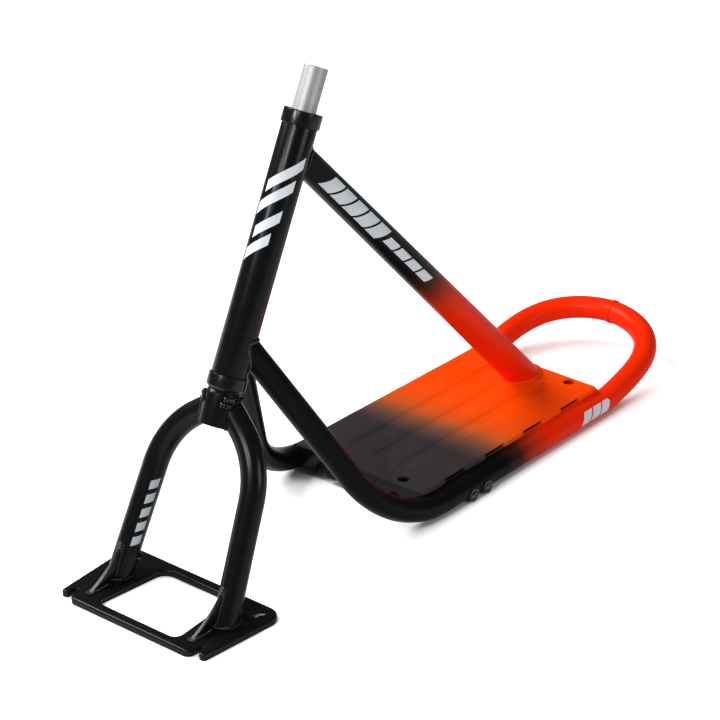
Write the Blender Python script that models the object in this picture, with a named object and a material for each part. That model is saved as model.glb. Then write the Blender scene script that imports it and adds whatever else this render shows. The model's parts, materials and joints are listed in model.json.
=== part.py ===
# Frame kit of a snow scooter, without its boards and handlebar.
# A fork stands on a base plate and turns in a leaning head tube. A top tube and two
# bent side tubes carry a pressed deck, and the side tubes meet behind it in a hoop.
# Metres, +X forward, +Y to the rider's left, +Z up, the floor at z = 0.

import math

import bmesh
import bpy
from mathutils import Matrix, Vector

MM = 0.001

# Between pieces that are welded, pressed or seated together
GAP = 0.3 * MM

# Steering axis: a station is a distance up the axis from the floor
HEAD_LEAN = math.radians(25.5)
CROWN_TOP = 264.5 * MM
CROWN_LENGTH = 41.5 * MM
CROWN_OD = 41.0 * MM
CUP_RUNNING_GAP = 1.5 * MM
HEADSET_LENGTH = 329.0 * MM
STEERER_OD = 28.6 * MM
STEERER_WALL = 3.0 * MM
STEERER_STICKOUT = 52.0 * MM
STEERER_CHAMFER = 0.8 * MM
HEAD_TUBE_OD = 42.0 * MM
HEAD_TUBE_WALL = 3.6 * MM

# Headset: a cup at each end of the head tube, with a caged ball bearing in it
CUP_OD = 45.6 * MM
CUP_HEIGHT = 17.5 * MM
CUP_CHAMFER = 2.0 * MM
CUP_RIM_CHAMFER = 0.8 * MM
CUP_SKIRT_LENGTH = 10.0 * MM
CUP_BORE_CLEARANCE = 1.0 * MM
BEARING_OD = 40.0 * MM
BEARING_HEIGHT = 7.0 * MM
BEARING_RECESS = 3.2 * MM
RACE_CLEARANCE = 0.8 * MM
RACE_SPACE = 1.4 * MM
BALL_DIAMETER = 2.8 * MM
BALL_COUNT = 10
CAGE_THICKNESS = 0.6 * MM
CAGE_HEIGHT = 2.4 * MM
RACE_LIP = 2.0 * MM
CROWN_RACE_FLANGE = 1.4 * MM
COMPRESSION_RING_HEIGHT = 1.2 * MM

# Fork legs: stations and sideways distances of each leg's centre line
LEG_OD = 30.5 * MM
LEG_WALL = 2.5 * MM
LEG_FOOT_OFFSET = -11.7 * MM
LEG_TOP_OFFSET = -5.8 * MM
LEG_FOOT_Y = 84.3 * MM
LEG_KNEE_Y = 71.2 * MM
LEG_KNEE_DROP = 64.8 * MM
LEG_BEND_RADIUS = 101.7 * MM
LEG_JOIN_Y = 7.9 * MM
LEG_JOIN_DROP = 16.1 * MM

# Base plate under the fork, which a front board is bolted to
PLATE_THICKNESS = 8.0 * MM
PLATE_FRONT = 57.5 * MM
PLATE_REAR = 75.0 * MM
PLATE_HALF_FRONT = 112.0 * MM
PLATE_HALF_REAR = 122.0 * MM
PLATE_REAR_RADIUS = 19.0 * MM
PLATE_BEVEL = 2.5 * MM
PLATE_BAR = 14.0 * MM
WINDOW_HALF_FRONT = 63.0 * MM
WINDOW_HALF_REAR = 53.0 * MM
WINDOW_RADIUS_FRONT = 10.0 * MM
WINDOW_RADIUS_REAR = 16.0 * MM
BOLT_LINE_Y = 98.5 * MM
FRONT_SLOT_WIDTH = 7.5 * MM
FRONT_SLOT_DEPTH = 20.5 * MM
FRONT_CORNER_RADIUS = 9.0 * MM
FINGER_SETBACK = 6.0 * MM
REAR_SLOT_WIDTH = 8.5 * MM
REAR_SLOT_LENGTH = 24.0 * MM
REAR_SLOT_EDGE = 7.0 * MM
KEYHOLE_DIAMETER = 14.0 * MM

# Gussets between the fork legs and the base plate
GUSSET_Y = 80.0 * MM
GUSSET_THICKNESS = 5.0 * MM
GUSSET_TIP = 38.5 * MM
GUSSET_TOP_X = -18.5 * MM
GUSSET_TOP_Z = 48.5 * MM
GUSSET_SAG = 4.0 * MM

# Side tubes: down from the head tube, back along the floor and round the hoop
SIDE_TUBE_OD = 30.5 * MM
SIDE_TUBE_WALL = 2.5 * MM
SIDE_JOIN_RISE = 40.5 * MM
SIDE_JOIN_Y = 6.0 * MM
SIDE_KNEE_X = -291.5 * MM
SIDE_BEND_RADIUS = 154.0 * MM
RAIL_HALF_FRONT = 105.5 * MM
RAIL_HALF_REAR = 101.2 * MM
HOOP_START_INSET = 16.0 * MM
HOOP_LENGTH = 156.8 * MM
HOOP_RISE = 38.3 * MM
HOOP_KICK = 22.0 * MM
HOOP_SHOULDER_POWER = 3.75
HOOP_CROWN_POWER = 1.83

# Ring with two spigots that joins the side tubes at the back of the hoop
JOINER_OD = 34.0 * MM
JOINER_WIDTH = 7.0 * MM
JOINER_SPIGOT = 5.0 * MM
JOINER_CLEARANCE = 1.0 * MM
JOINER_BORE = 18.0 * MM

# Top tube: widens from the head tube down to its foot on the deck
TOP_JOIN_DROP = 45.5 * MM
TOP_TUBE_OD_HEAD = 33.5 * MM
TOP_TUBE_OD_FOOT = 41.5 * MM
TOP_TUBE_WALL = 2.5 * MM
TOP_FOOT_INSET = 32.0 * MM

# Deck: a sheet whose sides are folded down on to the side tubes
DECK_THICKNESS = 4.0 * MM
DECK_LIFT = 8.25 * MM
DECK_FRONT_INSET = 59.5 * MM
DECK_LENGTH = 366.0 * MM
DECK_OVERHANG = 2.5 * MM
DECK_FOLD_RADIUS = 4.0 * MM
DECK_SLOT_COUNT = 4
DECK_SLOT_PITCH = 80.0 * MM
DECK_SLOT_LENGTH = 37.0 * MM
DECK_SLOT_START = 48.5 * MM
DECK_HOLE_DIAMETER = 15.0 * MM
DECK_HOLE_Y = 61.0 * MM
DECK_HOLE_INSET_FRONT = 13.5 * MM
DECK_HOLE_INSET_REAR = 11.5 * MM
GROOVE_SPACING = 40.0 * MM
GROOVE_WIDTH = 25.0 * MM
GROOVE_FLOOR_WIDTH = 4.0 * MM
GROOVE_DEPTH = 1.9 * MM
GROOVE_MARGIN_FRONT = 32.0 * MM
GROOVE_MARGIN_REAR = 23.0 * MM
GROOVE_FOOT_CLEARANCE = 4.0 * MM

# Cross plates that close the space under the deck at the front and the back
CROSS_THICKNESS = 4.0 * MM
CROSS_BOTTOM = 8.5 * MM
CROSS_NOTCH_Y = 58.5 * MM
CROSS_NOTCH_WIDTH = 18.0 * MM
CROSS_NOTCH_TOP = 26.0 * MM

# Threaded bosses outside the side tubes, which the rear board's brackets bolt to
BOSS_DIAMETER = 15.6 * MM
BOSS_BORE = 8.0 * MM
BOSS_Z = 9.0 * MM
BOSS_FIRST_INSET = 79.5 * MM
BOSS_SPACING = 28.0 * MM
BOSS_STAND = 1.4 * MM

TUBE_SIDES = 16
TURNED_SIDES = 24
BEND_STEPS = 7
HOOP_STEPS = 13
HOOP_STEP_POWER = 1.6
FULL_TURN = 360.0

# Worked out from the sizes above
LOWER_CUP_BOTTOM = CROWN_TOP + CUP_RUNNING_GAP
UPPER_CUP_TOP = LOWER_CUP_BOTTOM + HEADSET_LENGTH
STEERER_TOP = UPPER_CUP_TOP + STEERER_STICKOUT
CROWN_BOTTOM = CROWN_TOP - CROWN_LENGTH
RAIL_Z = SIDE_TUBE_OD / 2
DECK_TOP = SIDE_TUBE_OD + DECK_LIFT
DECK_FRONT_X = SIDE_KNEE_X - DECK_FRONT_INSET
DECK_REAR_X = DECK_FRONT_X - DECK_LENGTH
BOSS_FIRST_X = DECK_FRONT_X - BOSS_FIRST_INSET
TOP_FOOT_X = DECK_REAR_X + TOP_FOOT_INSET
HOOP_START_X = DECK_REAR_X - HOOP_START_INSET
HOOP_BACK_X = HOOP_START_X - HOOP_LENGTH
REARMOST_X = HOOP_BACK_X - JOINER_OD / 2
AXIS_FOOT_X = -(PLATE_FRONT + REARMOST_X) / 2
AXIS = Vector((-math.sin(HEAD_LEAN), 0, math.cos(HEAD_LEAN)))
ACROSS = Vector((math.cos(HEAD_LEAN), 0, math.sin(HEAD_LEAN)))
BALL_PITCH = (BEARING_OD / 2 + STEERER_OD / 2 + RACE_CLEARANCE) / 2

COLOURS = {
    "black": ((0.012, 0.013, 0.014), 0.38, 0.0),
    "anodised": ((0.010, 0.010, 0.011), 0.30, 0.4),
    "red": ((0.80, 0.030, 0.004), 0.36, 0.0),
    "orange": ((0.90, 0.095, 0.004), 0.42, 0.0),
    "aluminium": ((0.62, 0.63, 0.62), 0.32, 1.0),
    "steel": ((0.45, 0.45, 0.46), 0.25, 1.0),
    "brass": ((0.55, 0.40, 0.16), 0.35, 1.0),
}


def clear_scene():
    for item in list(bpy.data.objects):
        bpy.data.objects.remove(item, do_unlink=True)


def material_for(name, colour):
    rgb, roughness, metallic = COLOURS[colour]
    material = bpy.data.materials.new(name)
    material.use_nodes = True
    shader = material.node_tree.nodes["Principled BSDF"]
    shader.inputs["Base Color"].default_value = (*rgb, 1)
    shader.inputs["Roughness"].default_value = roughness
    shader.inputs["Metallic"].default_value = metallic
    return material


def finish(name, mesh_data, colour, parent):
    """Close off a bmesh as a named piece of the model."""
    bmesh.ops.remove_doubles(mesh_data, verts=mesh_data.verts, dist=1e-6)
    bmesh.ops.recalc_face_normals(mesh_data, faces=mesh_data.faces)
    mesh = bpy.data.meshes.new(name)
    mesh_data.to_mesh(mesh)
    mesh_data.free()
    mesh.shade_smooth()
    mesh.set_sharp_from_angle(angle=math.radians(35))
    piece = bpy.data.objects.new(name, mesh)
    bpy.context.collection.objects.link(piece)
    piece.parent = parent
    if colour is None:
        piece.hide_render = True
        piece.display_type = "WIRE"
    else:
        mesh.materials.append(material_for(name, colour))
    return piece


def boolean(piece, tool, operation="DIFFERENCE"):
    modifier = piece.modifiers.new(tool.name, "BOOLEAN")
    modifier.operation = operation
    modifier.solver = "EXACT"
    modifier.object = tool


def on_axis(station, offset=0.0, y=0.0):
    """Point beside the steering axis, in the level frame at the axis's foot."""
    return AXIS * station + ACROSS * offset + Vector((0, y, 0))


def turned(name, profile, colour, parent, axis_matrix=None):
    """Turn a closed outline of (radius, height) points round local Z."""
    mesh_data = bmesh.new()
    rings = []
    for step in range(TURNED_SIDES):
        angle = 2 * math.pi * step / TURNED_SIDES
        rings.append([
            mesh_data.verts.new((radius * math.cos(angle), radius * math.sin(angle), height))
            for radius, height in profile
        ])
    for ring, following in zip(rings, rings[1:] + rings[:1]):
        for index in range(len(profile)):
            after = (index + 1) % len(profile)
            mesh_data.faces.new((ring[index], following[index], following[after], ring[after]))
    if axis_matrix is not None:
        mesh_data.transform(axis_matrix)
    return finish(name, mesh_data, colour, parent)


def extruded(name, outline, low, high, colour, parent, matrix=None):
    """Extrude a closed outline of (x, y) points from z = low to z = high."""
    mesh_data = bmesh.new()
    floor = [mesh_data.verts.new((x, y, low)) for x, y in outline]
    roof = [mesh_data.verts.new((x, y, high)) for x, y in outline]
    mesh_data.faces.new(floor[::-1])
    mesh_data.faces.new(roof)
    for index in range(len(outline)):
        after = (index + 1) % len(outline)
        mesh_data.faces.new((floor[index], floor[after], roof[after], roof[index]))
    if matrix is not None:
        mesh_data.transform(matrix)
    return finish(name, mesh_data, colour, parent)


def box_cutter(name, low, high, parent):
    outline = [(low[0], low[1]), (high[0], low[1]), (high[0], high[1]), (low[0], high[1])]
    return extruded(name, outline, low[2], high[2], None, parent)


def arc(centre, radius, start, end, steps):
    """Points on a circle in the plane, from one angle in degrees to another."""
    points = []
    for step in range(steps + 1):
        angle = math.radians(start + (end - start) * step / steps)
        points.append((centre[0] + radius * math.cos(angle), centre[1] + radius * math.sin(angle)))
    return points


def rounded(corners, steps=4):
    """Round each corner of a closed outline; corners are (x, y, radius)."""
    points = []
    count = len(corners)
    for index, (x, y, radius) in enumerate(corners):
        here = Vector((x, y))
        if radius == 0:
            points.append((x, y))
            continue
        before = (Vector(corners[index - 1][:2]) - here).normalized()
        after = (Vector(corners[(index + 1) % count][:2]) - here).normalized()
        half = before.angle(after) / 2
        centre = here + (before + after).normalized() * radius / math.sin(half)
        first = here + before * radius / math.tan(half) - centre
        last = here + after * radius / math.tan(half) - centre
        turn = first.angle_signed(last)
        for step in range(steps + 1):
            spoke = Matrix.Rotation(-turn * step / steps, 2) @ first
            points.append(tuple(centre + spoke))
    return points


def bent_path(start, knee, end, radius, steps=BEND_STEPS):
    """Straight run, arc and straight run, as a bent tube's centre line."""
    toward_start = (start - knee).normalized()
    toward_end = (end - knee).normalized()
    half = toward_start.angle(toward_end) / 2
    centre = knee + (toward_start + toward_end).normalized() * radius / math.sin(half)
    first = knee + toward_start * radius / math.tan(half) - centre
    last = knee + toward_end * radius / math.tan(half) - centre
    points = [start]
    for step in range(steps + 1):
        points.append(centre + first.slerp(last, step / steps) * radius)
    points.append(end)
    return points


def ring_frames(path):
    """Tangent and two normals at each point, carried along the path without twist."""
    frames = []
    side = None
    for index, point in enumerate(path):
        before = path[max(index - 1, 0)]
        after = path[min(index + 1, len(path) - 1)]
        inward = (point - before).normalized() if index else (after - point).normalized()
        outward = (after - point).normalized() if index < len(path) - 1 else inward
        tangent = (inward + outward).normalized()
        if side is None:
            side = tangent.cross(Vector((0, 0, 1))).normalized()
        side = (side - tangent * side.dot(tangent)).normalized()
        frames.append((tangent, side, tangent.cross(side)))
    return frames


def tube_rings(mesh_data, path, radii, planes):
    """Rings of vertices; the end rings slide along the tube on to the given planes."""
    rings = []
    for index, (point, frame) in enumerate(zip(path, ring_frames(path))):
        tangent, side, rise = frame
        ring = []
        for step in range(TUBE_SIDES):
            angle = 2 * math.pi * (step + 0.5) / TUBE_SIDES
            spot = point + (side * math.cos(angle) + rise * math.sin(angle)) * radii[index]
            plane = planes.get(index)
            if plane is not None:
                origin, normal = plane
                spot = spot + tangent * ((origin - spot).dot(normal) / tangent.dot(normal))
            ring.append(mesh_data.verts.new(spot))
        rings.append(ring)
    return rings


def skin(mesh_data, rings):
    for ring, following in zip(rings, rings[1:]):
        for step in range(TUBE_SIDES):
            after = (step + 1) % TUBE_SIDES
            mesh_data.faces.new((ring[step], ring[after], following[after], following[step]))


def swept_tube(name, path, radii, wall, colour, parent, start_plane=None, end_plane=None):
    """Hollow tube with open ends along a path."""
    planes = {}
    if start_plane is not None:
        planes[0] = start_plane
    if end_plane is not None:
        planes[len(path) - 1] = end_plane
    mesh_data = bmesh.new()
    outer = tube_rings(mesh_data, path, radii, planes)
    inner = tube_rings(mesh_data, path, [radius - wall for radius in radii], planes)
    skin(mesh_data, outer)
    skin(mesh_data, inner)
    for outside, inside in ((outer[0], inner[0]), (outer[-1], inner[-1])):
        for step in range(TUBE_SIDES):
            after = (step + 1) % TUBE_SIDES
            mesh_data.faces.new((outside[step], outside[after], inside[after], inside[step]))
    return finish(name, mesh_data, colour, parent)


def swept_cutter(name, path, radius, parent):
    """Solid round bar along a path, which cuts neighbours clear of a tube."""
    mesh_data = bmesh.new()
    rings = tube_rings(mesh_data, path, [radius] * len(path), {})
    skin(mesh_data, rings)
    mesh_data.faces.new(rings[0])
    mesh_data.faces.new(rings[-1])
    return finish(name, mesh_data, None, parent)


def bar_cutter(name, start, end, radius, parent):
    """Solid round bar between two points."""
    direction = end - start
    mesh_data = bmesh.new()
    bmesh.ops.create_cone(
        mesh_data, cap_ends=True, segments=TURNED_SIDES,
        radius1=radius, radius2=radius, depth=direction.length)
    turn = direction.to_track_quat("Z", "Y").to_matrix().to_4x4()
    mesh_data.transform(Matrix.Translation((start + end) / 2) @ turn)
    return finish(name, mesh_data, None, parent)


# Steering head

def head_tube_ends():
    return LOWER_CUP_BOTTOM + CUP_HEIGHT + GAP, UPPER_CUP_TOP - CUP_HEIGHT - GAP


def build_head_tube(lean):
    low, high = head_tube_ends()
    outside = HEAD_TUBE_OD / 2
    inside = outside - HEAD_TUBE_WALL
    profile = [(inside, low), (outside, low), (outside, high), (inside, high)]
    turned("head_tube", profile, "black", lean)


def cup_profile(chamfer, rim_chamfer):
    """Outline of a cup that opens at height 0 and is pressed into a tube above it."""
    outside = CUP_OD / 2
    pocket = BEARING_OD / 2 + GAP
    skirt = HEAD_TUBE_OD / 2 - HEAD_TUBE_WALL - GAP
    bore = STEERER_OD / 2 + CUP_BORE_CLEARANCE
    floor = BEARING_RECESS + BEARING_HEIGHT + GAP
    return [
        (pocket, 0), (outside - chamfer * 0.75, 0), (outside, chamfer),
        (outside, CUP_HEIGHT - rim_chamfer), (outside - rim_chamfer, CUP_HEIGHT),
        (skirt, CUP_HEIGHT), (skirt, CUP_HEIGHT + CUP_SKIRT_LENGTH),
        (bore, CUP_HEIGHT + CUP_SKIRT_LENGTH), (bore, floor), (pocket, floor),
    ]


def race_groove(middle, direction):
    """Points of a ball track, from low to high, cut into a race's face."""
    face = BALL_PITCH + direction * RACE_SPACE / 2
    depth = BALL_DIAMETER / 2 + GAP
    reach = math.degrees(math.acos(RACE_SPACE / 2 / depth))
    points = []
    for angle in (-reach, -reach / 2, 0, reach / 2, reach):
        turn = math.radians(angle)
        radius = BALL_PITCH + direction * depth * math.cos(turn)
        points.append((radius, middle + depth * math.sin(turn)))
    points[0] = (face, points[0][1])
    points[-1] = (face, points[-1][1])
    return points


def build_bearing(prefix, place, lean):
    """Bearing with its lower face at height 0; place maps that frame on to the axis."""
    middle = BEARING_HEIGHT / 2
    outer_radius = BEARING_OD / 2
    inner_radius = STEERER_OD / 2 + RACE_CLEARANCE
    outer_face = BALL_PITCH + RACE_SPACE / 2
    inner_face = BALL_PITCH - RACE_SPACE / 2
    outer = [(outer_radius, 0), (outer_radius, BEARING_HEIGHT), (outer_face, BEARING_HEIGHT)]
    outer += race_groove(middle, 1)[::-1] + [(outer_face, 0)]
    turned(prefix + "_bearing_outer_race", outer, "steel", lean, place)
    inner = [(inner_radius, 0), (inner_face, 0)] + race_groove(middle, -1)
    inner += [(inner_face, BEARING_HEIGHT), (inner_radius, BEARING_HEIGHT)]
    turned(prefix + "_bearing_inner_race", inner, "steel", lean, place)
    build_ball_cage(prefix, place @ Matrix.Translation((0, 0, middle)), lean)


def build_ball_cage(prefix, place, lean):
    low, high = -CAGE_HEIGHT / 2, CAGE_HEIGHT / 2
    inside, outside = BALL_PITCH - CAGE_THICKNESS / 2, BALL_PITCH + CAGE_THICKNESS / 2
    ring = [(inside, low), (outside, low), (outside, high), (inside, high)]
    cage = turned(prefix + "_ball_cage", ring, "brass", lean, place)
    mesh_data = bmesh.new()
    for index in range(BALL_COUNT):
        angle = 2 * math.pi * (index + 0.5) / BALL_COUNT
        spot = Vector((BALL_PITCH * math.cos(angle), BALL_PITCH * math.sin(angle), 0))
        bmesh.ops.create_icosphere(
            mesh_data, subdivisions=2, radius=BALL_DIAMETER / 2, matrix=Matrix.Translation(spot))
    mesh_data.transform(place)
    balls = finish(prefix + "_balls_guide", mesh_data, None, lean)
    boolean(cage, balls, "UNION")


def build_headset(lean):
    upward = Matrix.Translation((0, 0, LOWER_CUP_BOTTOM))
    downward = Matrix.Translation((0, 0, UPPER_CUP_TOP)) @ Matrix.Rotation(math.pi, 4, "X")
    turned("lower_cup", cup_profile(CUP_CHAMFER, CUP_RIM_CHAMFER), "anodised", lean, upward)
    turned("upper_cup", cup_profile(CUP_RIM_CHAMFER, CUP_RIM_CHAMFER), "anodised", lean, downward)
    recess = Matrix.Translation((0, 0, BEARING_RECESS))
    build_bearing("lower", upward @ recess, lean)
    build_bearing("upper", downward @ recess, lean)

    inside = STEERER_OD / 2 + GAP
    seat = inside + RACE_LIP
    race_seat = LOWER_CUP_BOTTOM + BEARING_RECESS - GAP
    flange = BEARING_OD / 2 - GAP
    crown_race = [
        (inside, CROWN_TOP + GAP), (flange, CROWN_TOP + GAP),
        (flange, CROWN_TOP + GAP + CROWN_RACE_FLANGE),
        (seat, race_seat), (inside, race_seat),
    ]
    turned("crown_race", crown_race, "anodised", lean)
    ring_low = UPPER_CUP_TOP - BEARING_RECESS + GAP
    ring_high = ring_low + COMPRESSION_RING_HEIGHT
    ring = [(inside, ring_low), (seat, ring_low), (seat, ring_high), (inside, ring_high)]
    turned("compression_ring", ring, "aluminium", lean)
    cover_low = ring_high + GAP
    cover = [
        (inside, cover_low), (flange, cover_low),
        (flange, UPPER_CUP_TOP), (inside, UPPER_CUP_TOP),
    ]
    turned("bearing_cover", cover, "anodised", lean)


def build_steerer(lean):
    outside = STEERER_OD / 2
    inside = outside - STEERER_WALL
    steerer = [
        (inside, CROWN_BOTTOM + GAP), (outside, CROWN_BOTTOM + GAP),
        (outside, STEERER_TOP - STEERER_CHAMFER), (outside - STEERER_CHAMFER, STEERER_TOP),
        (inside, STEERER_TOP),
    ]
    turned("steerer_tube", steerer, "aluminium", lean)
    sleeve = outside + GAP
    crown = [
        (sleeve, CROWN_BOTTOM), (CROWN_OD / 2, CROWN_BOTTOM),
        (CROWN_OD / 2, CROWN_TOP), (sleeve, CROWN_TOP),
    ]
    turned("crown_tube", crown, "black", lean)


# Fork

def leg_path(side):
    """Centre line of one leg, from under the plate's top face to inside the crown."""
    join = CROWN_TOP - LEG_JOIN_DROP
    knee = CROWN_TOP - LEG_KNEE_DROP
    slope = (LEG_TOP_OFFSET - LEG_FOOT_OFFSET) / join
    foot_point = on_axis(PLATE_THICKNESS, LEG_FOOT_OFFSET, side * LEG_FOOT_Y)
    knee_point = on_axis(knee, LEG_FOOT_OFFSET + slope * knee, side * LEG_KNEE_Y)
    join_point = on_axis(join, LEG_TOP_OFFSET, side * LEG_JOIN_Y)
    return bent_path(foot_point, knee_point, join_point, LEG_BEND_RADIUS)


def build_legs(level):
    crown_space = bar_cutter(
        "crown_space", on_axis(CROWN_BOTTOM - CROWN_LENGTH), on_axis(CROWN_TOP + CROWN_LENGTH),
        CROWN_OD / 2 + GAP, level)
    foot_plane = (Vector((0, 0, PLATE_THICKNESS + GAP)), Vector((0, 0, 1)))
    for word, side in (("left", 1), ("right", -1)):
        path = leg_path(side)
        radii = [LEG_OD / 2] * len(path)
        leg = swept_tube(
            word + "_fork_leg", path, radii, LEG_WALL, "black", level, start_plane=foot_plane)
        boolean(leg, crown_space)


def plate_outline():
    """Outer edge of the base plate, with the two slots open at its front."""
    half_slot = FRONT_SLOT_WIDTH / 2
    finger = PLATE_FRONT - FINGER_SETBACK
    slot_end = PLATE_FRONT - FRONT_SLOT_DEPTH
    slope = (PLATE_HALF_REAR - PLATE_HALF_FRONT) / (PLATE_FRONT + PLATE_REAR)
    outer_y = PLATE_HALF_FRONT + slope * FINGER_SETBACK
    inner_y = BOLT_LINE_Y - half_slot
    tip = (outer_y - BOLT_LINE_Y - half_slot) * 0.45
    corners = [
        (PLATE_FRONT, inner_y, FRONT_CORNER_RADIUS),
        (slot_end, inner_y, half_slot * 0.98), (slot_end, BOLT_LINE_Y + half_slot, half_slot * 0.98),
        (finger, BOLT_LINE_Y + half_slot, tip), (finger, outer_y, tip),
        (-PLATE_REAR, PLATE_HALF_REAR, PLATE_REAR_RADIUS),
    ]
    mirrored = [(x, -y, radius) for x, y, radius in corners[::-1]]
    return rounded(corners + mirrored)


def build_base_plate(level):
    mesh_data = bmesh.new()
    roof = [mesh_data.verts.new((x, y, PLATE_THICKNESS)) for x, y in plate_outline()]
    top = mesh_data.faces.new(roof)
    if top.normal.z < 0 or sum((a.co.x * b.co.y - b.co.x * a.co.y)
                               for a, b in zip(roof, roof[1:] + roof[:1])) < 0:
        top.normal_flip()
    extrusion = bmesh.ops.extrude_face_region(mesh_data, geom=[top])
    floor = [item for item in extrusion["geom"] if isinstance(item, bmesh.types.BMVert)]
    for vertex in floor:
        vertex.co.z = 0
    rim = [edge for edge in mesh_data.edges
           if all(abs(vertex.co.z - PLATE_THICKNESS) < 1e-7 for vertex in edge.verts)]
    bmesh.ops.bevel(
        mesh_data, geom=rim, offset=PLATE_BEVEL, segments=1, affect="EDGES", clamp_overlap=True)
    plate = finish("base_plate", mesh_data, "black", level)

    front, rear = PLATE_FRONT - PLATE_BAR, -(PLATE_REAR - PLATE_BAR)
    window = rounded([
        (front, WINDOW_HALF_FRONT, WINDOW_RADIUS_FRONT), (rear, WINDOW_HALF_REAR, WINDOW_RADIUS_REAR),
        (rear, -WINDOW_HALF_REAR, WINDOW_RADIUS_REAR), (front, -WINDOW_HALF_FRONT, WINDOW_RADIUS_FRONT),
    ])
    below, above = -PLATE_THICKNESS, 2 * PLATE_THICKNESS
    boolean(plate, extruded("plate_window", window, below, above, None, level))
    for side in (1, -1):
        y = side * BOLT_LINE_Y
        slot_rear = -PLATE_REAR + REAR_SLOT_EDGE
        slot_front = slot_rear + REAR_SLOT_LENGTH
        keyhole = KEYHOLE_DIAMETER / 2
        slot = REAR_SLOT_WIDTH / 2
        opening = math.degrees(math.asin(slot / keyhole))
        outline = arc((slot_rear + keyhole, y), keyhole, opening, FULL_TURN - opening, 12)
        outline += arc((slot_front - slot, y), slot, -90, 90, 6)
        name = "keyhole_left" if side > 0 else "keyhole_right"
        boolean(plate, extruded(name, outline, below, above, None, level))


def build_gussets(level):
    """Fins in upright planes, cut to the legs' round fronts."""
    low = PLATE_THICKNESS + GAP
    back = GUSSET_TOP_X + LEG_FOOT_OFFSET
    steps = 6
    edge = []
    middle = Vector(((GUSSET_TIP + GUSSET_TOP_X) / 2, (low + GUSSET_TOP_Z) / 2))
    chord = Vector((GUSSET_TIP - GUSSET_TOP_X, low - GUSSET_TOP_Z)).normalized()
    pull = middle + Vector((chord.y, -chord.x)) * 2 * GUSSET_SAG
    for step in range(steps + 1):
        t = step / steps
        x = (1 - t) ** 2 * GUSSET_TIP + 2 * t * (1 - t) * pull.x + t ** 2 * GUSSET_TOP_X
        z = (1 - t) ** 2 * low + 2 * t * (1 - t) * pull.y + t ** 2 * GUSSET_TOP_Z
        edge.append((x, z))
    outline = edge + [(back, GUSSET_TOP_Z), (-LEG_OD / 2, low)]
    upright = Matrix.Rotation(math.pi / 2, 4, "X")
    for word, side in (("left", 1), ("right", -1)):
        near = -side * GUSSET_Y - GUSSET_THICKNESS / 2
        gusset = extruded(
            word + "_gusset", outline, near, near + GUSSET_THICKNESS, "black", level, upright)
        path = leg_path(side)
        down = (path[0] - path[1]).normalized() * LEG_OD
        cutter = swept_cutter(word + "_leg_space", [path[0] + down] + path[1:], LEG_OD / 2 + GAP, level)
        boolean(gusset, cutter)


# Side tubes, top tube and deck

def rail_half(x):
    """Half the distance between the rails' centre lines at x."""
    share = (x - SIDE_KNEE_X) / (HOOP_START_X - SIDE_KNEE_X)
    return RAIL_HALF_FRONT + (RAIL_HALF_REAR - RAIL_HALF_FRONT) * share


def rail_height(x):
    """Height of the centre line: flat along the rail, then a short bend and a slope."""
    slope = HOOP_RISE / HOOP_LENGTH
    past = HOOP_START_X - x
    if past < -HOOP_KICK:
        return RAIL_Z
    if past < HOOP_KICK:
        return RAIL_Z + slope * (past + HOOP_KICK) ** 2 / (4 * HOOP_KICK)
    return RAIL_Z + slope * past


def side_path(side):
    """Centre line of one side tube, from inside the head tube to the hoop's middle."""
    station = LOWER_CUP_BOTTOM + CUP_HEIGHT + SIDE_JOIN_RISE
    start = on_axis(station, 0, SIDE_JOIN_Y)
    knee = Vector((SIDE_KNEE_X, RAIL_HALF_FRONT, RAIL_Z))
    last_flat = HOOP_START_X + HOOP_KICK
    end = Vector((last_flat, rail_half(last_flat), RAIL_Z))
    points = bent_path(start, knee, end, SIDE_BEND_RADIUS)
    middle_kick = HOOP_START_X + HOOP_KICK / 2
    points.append(Vector((middle_kick, rail_half(middle_kick), rail_height(middle_kick))))
    # The hoop is a quarter of a superellipse, with its steps bunched at the shoulder
    for step in range(HOOP_STEPS):
        turn = math.pi / 2 * (step / HOOP_STEPS) ** HOOP_STEP_POWER
        x = HOOP_START_X - HOOP_LENGTH * math.sin(turn) ** (2 / HOOP_SHOULDER_POWER)
        y = RAIL_HALF_REAR * math.cos(turn) ** (2 / HOOP_CROWN_POWER)
        points.append(Vector((x, y, rail_height(x))))
    points.append(Vector((HOOP_BACK_X, JOINER_WIDTH / 2 + GAP, rail_height(HOOP_BACK_X))))
    return [Vector((point.x, side * point.y, point.z)) for point in points]


def rail_part(side):
    """The part of a side tube's path that lies along the deck, with room at both ends."""
    path = side_path(side)
    return [point for point in path[1:] if point.x > HOOP_START_X - HOOP_KICK]


def build_side_tubes(level):
    low, high = head_tube_ends()
    head_space = bar_cutter(
        "head_space", on_axis(low - CUP_HEIGHT), on_axis(high), HEAD_TUBE_OD / 2 + GAP, level)
    reach = HEAD_TUBE_OD
    height = on_axis(high).z
    for word, side in (("left", 1), ("right", -1)):
        path = side_path(side)
        radii = [SIDE_TUBE_OD / 2] * len(path)
        seat = side * (JOINER_WIDTH / 2 + GAP)
        joint_plane = (Vector((0, seat, 0)), Vector((0, 1, 0)))
        tube = swept_tube(
            word + "_side_tube", path, radii, SIDE_TUBE_WALL, "black", level, end_plane=joint_plane)
        boolean(tube, head_space)
        sides = sorted((side * GAP / 2, -side * reach))
        middle = box_cutter(
            word + "_middle_space", (SIDE_KNEE_X, sides[0], SIDE_TUBE_OD * 2),
            (0, sides[1], height), level)
        boolean(tube, middle)
        for place in range(2):
            x = BOSS_FIRST_X - place * BOSS_SPACING
            start = Vector((x, side * rail_half(x), BOSS_Z))
            end = start + Vector((0, side * SIDE_TUBE_OD, 0))
            bore = bar_cutter("%s_bore_%d" % (word, place), start, end, BOSS_BORE / 2, level)
            boolean(tube, bore)


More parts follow.
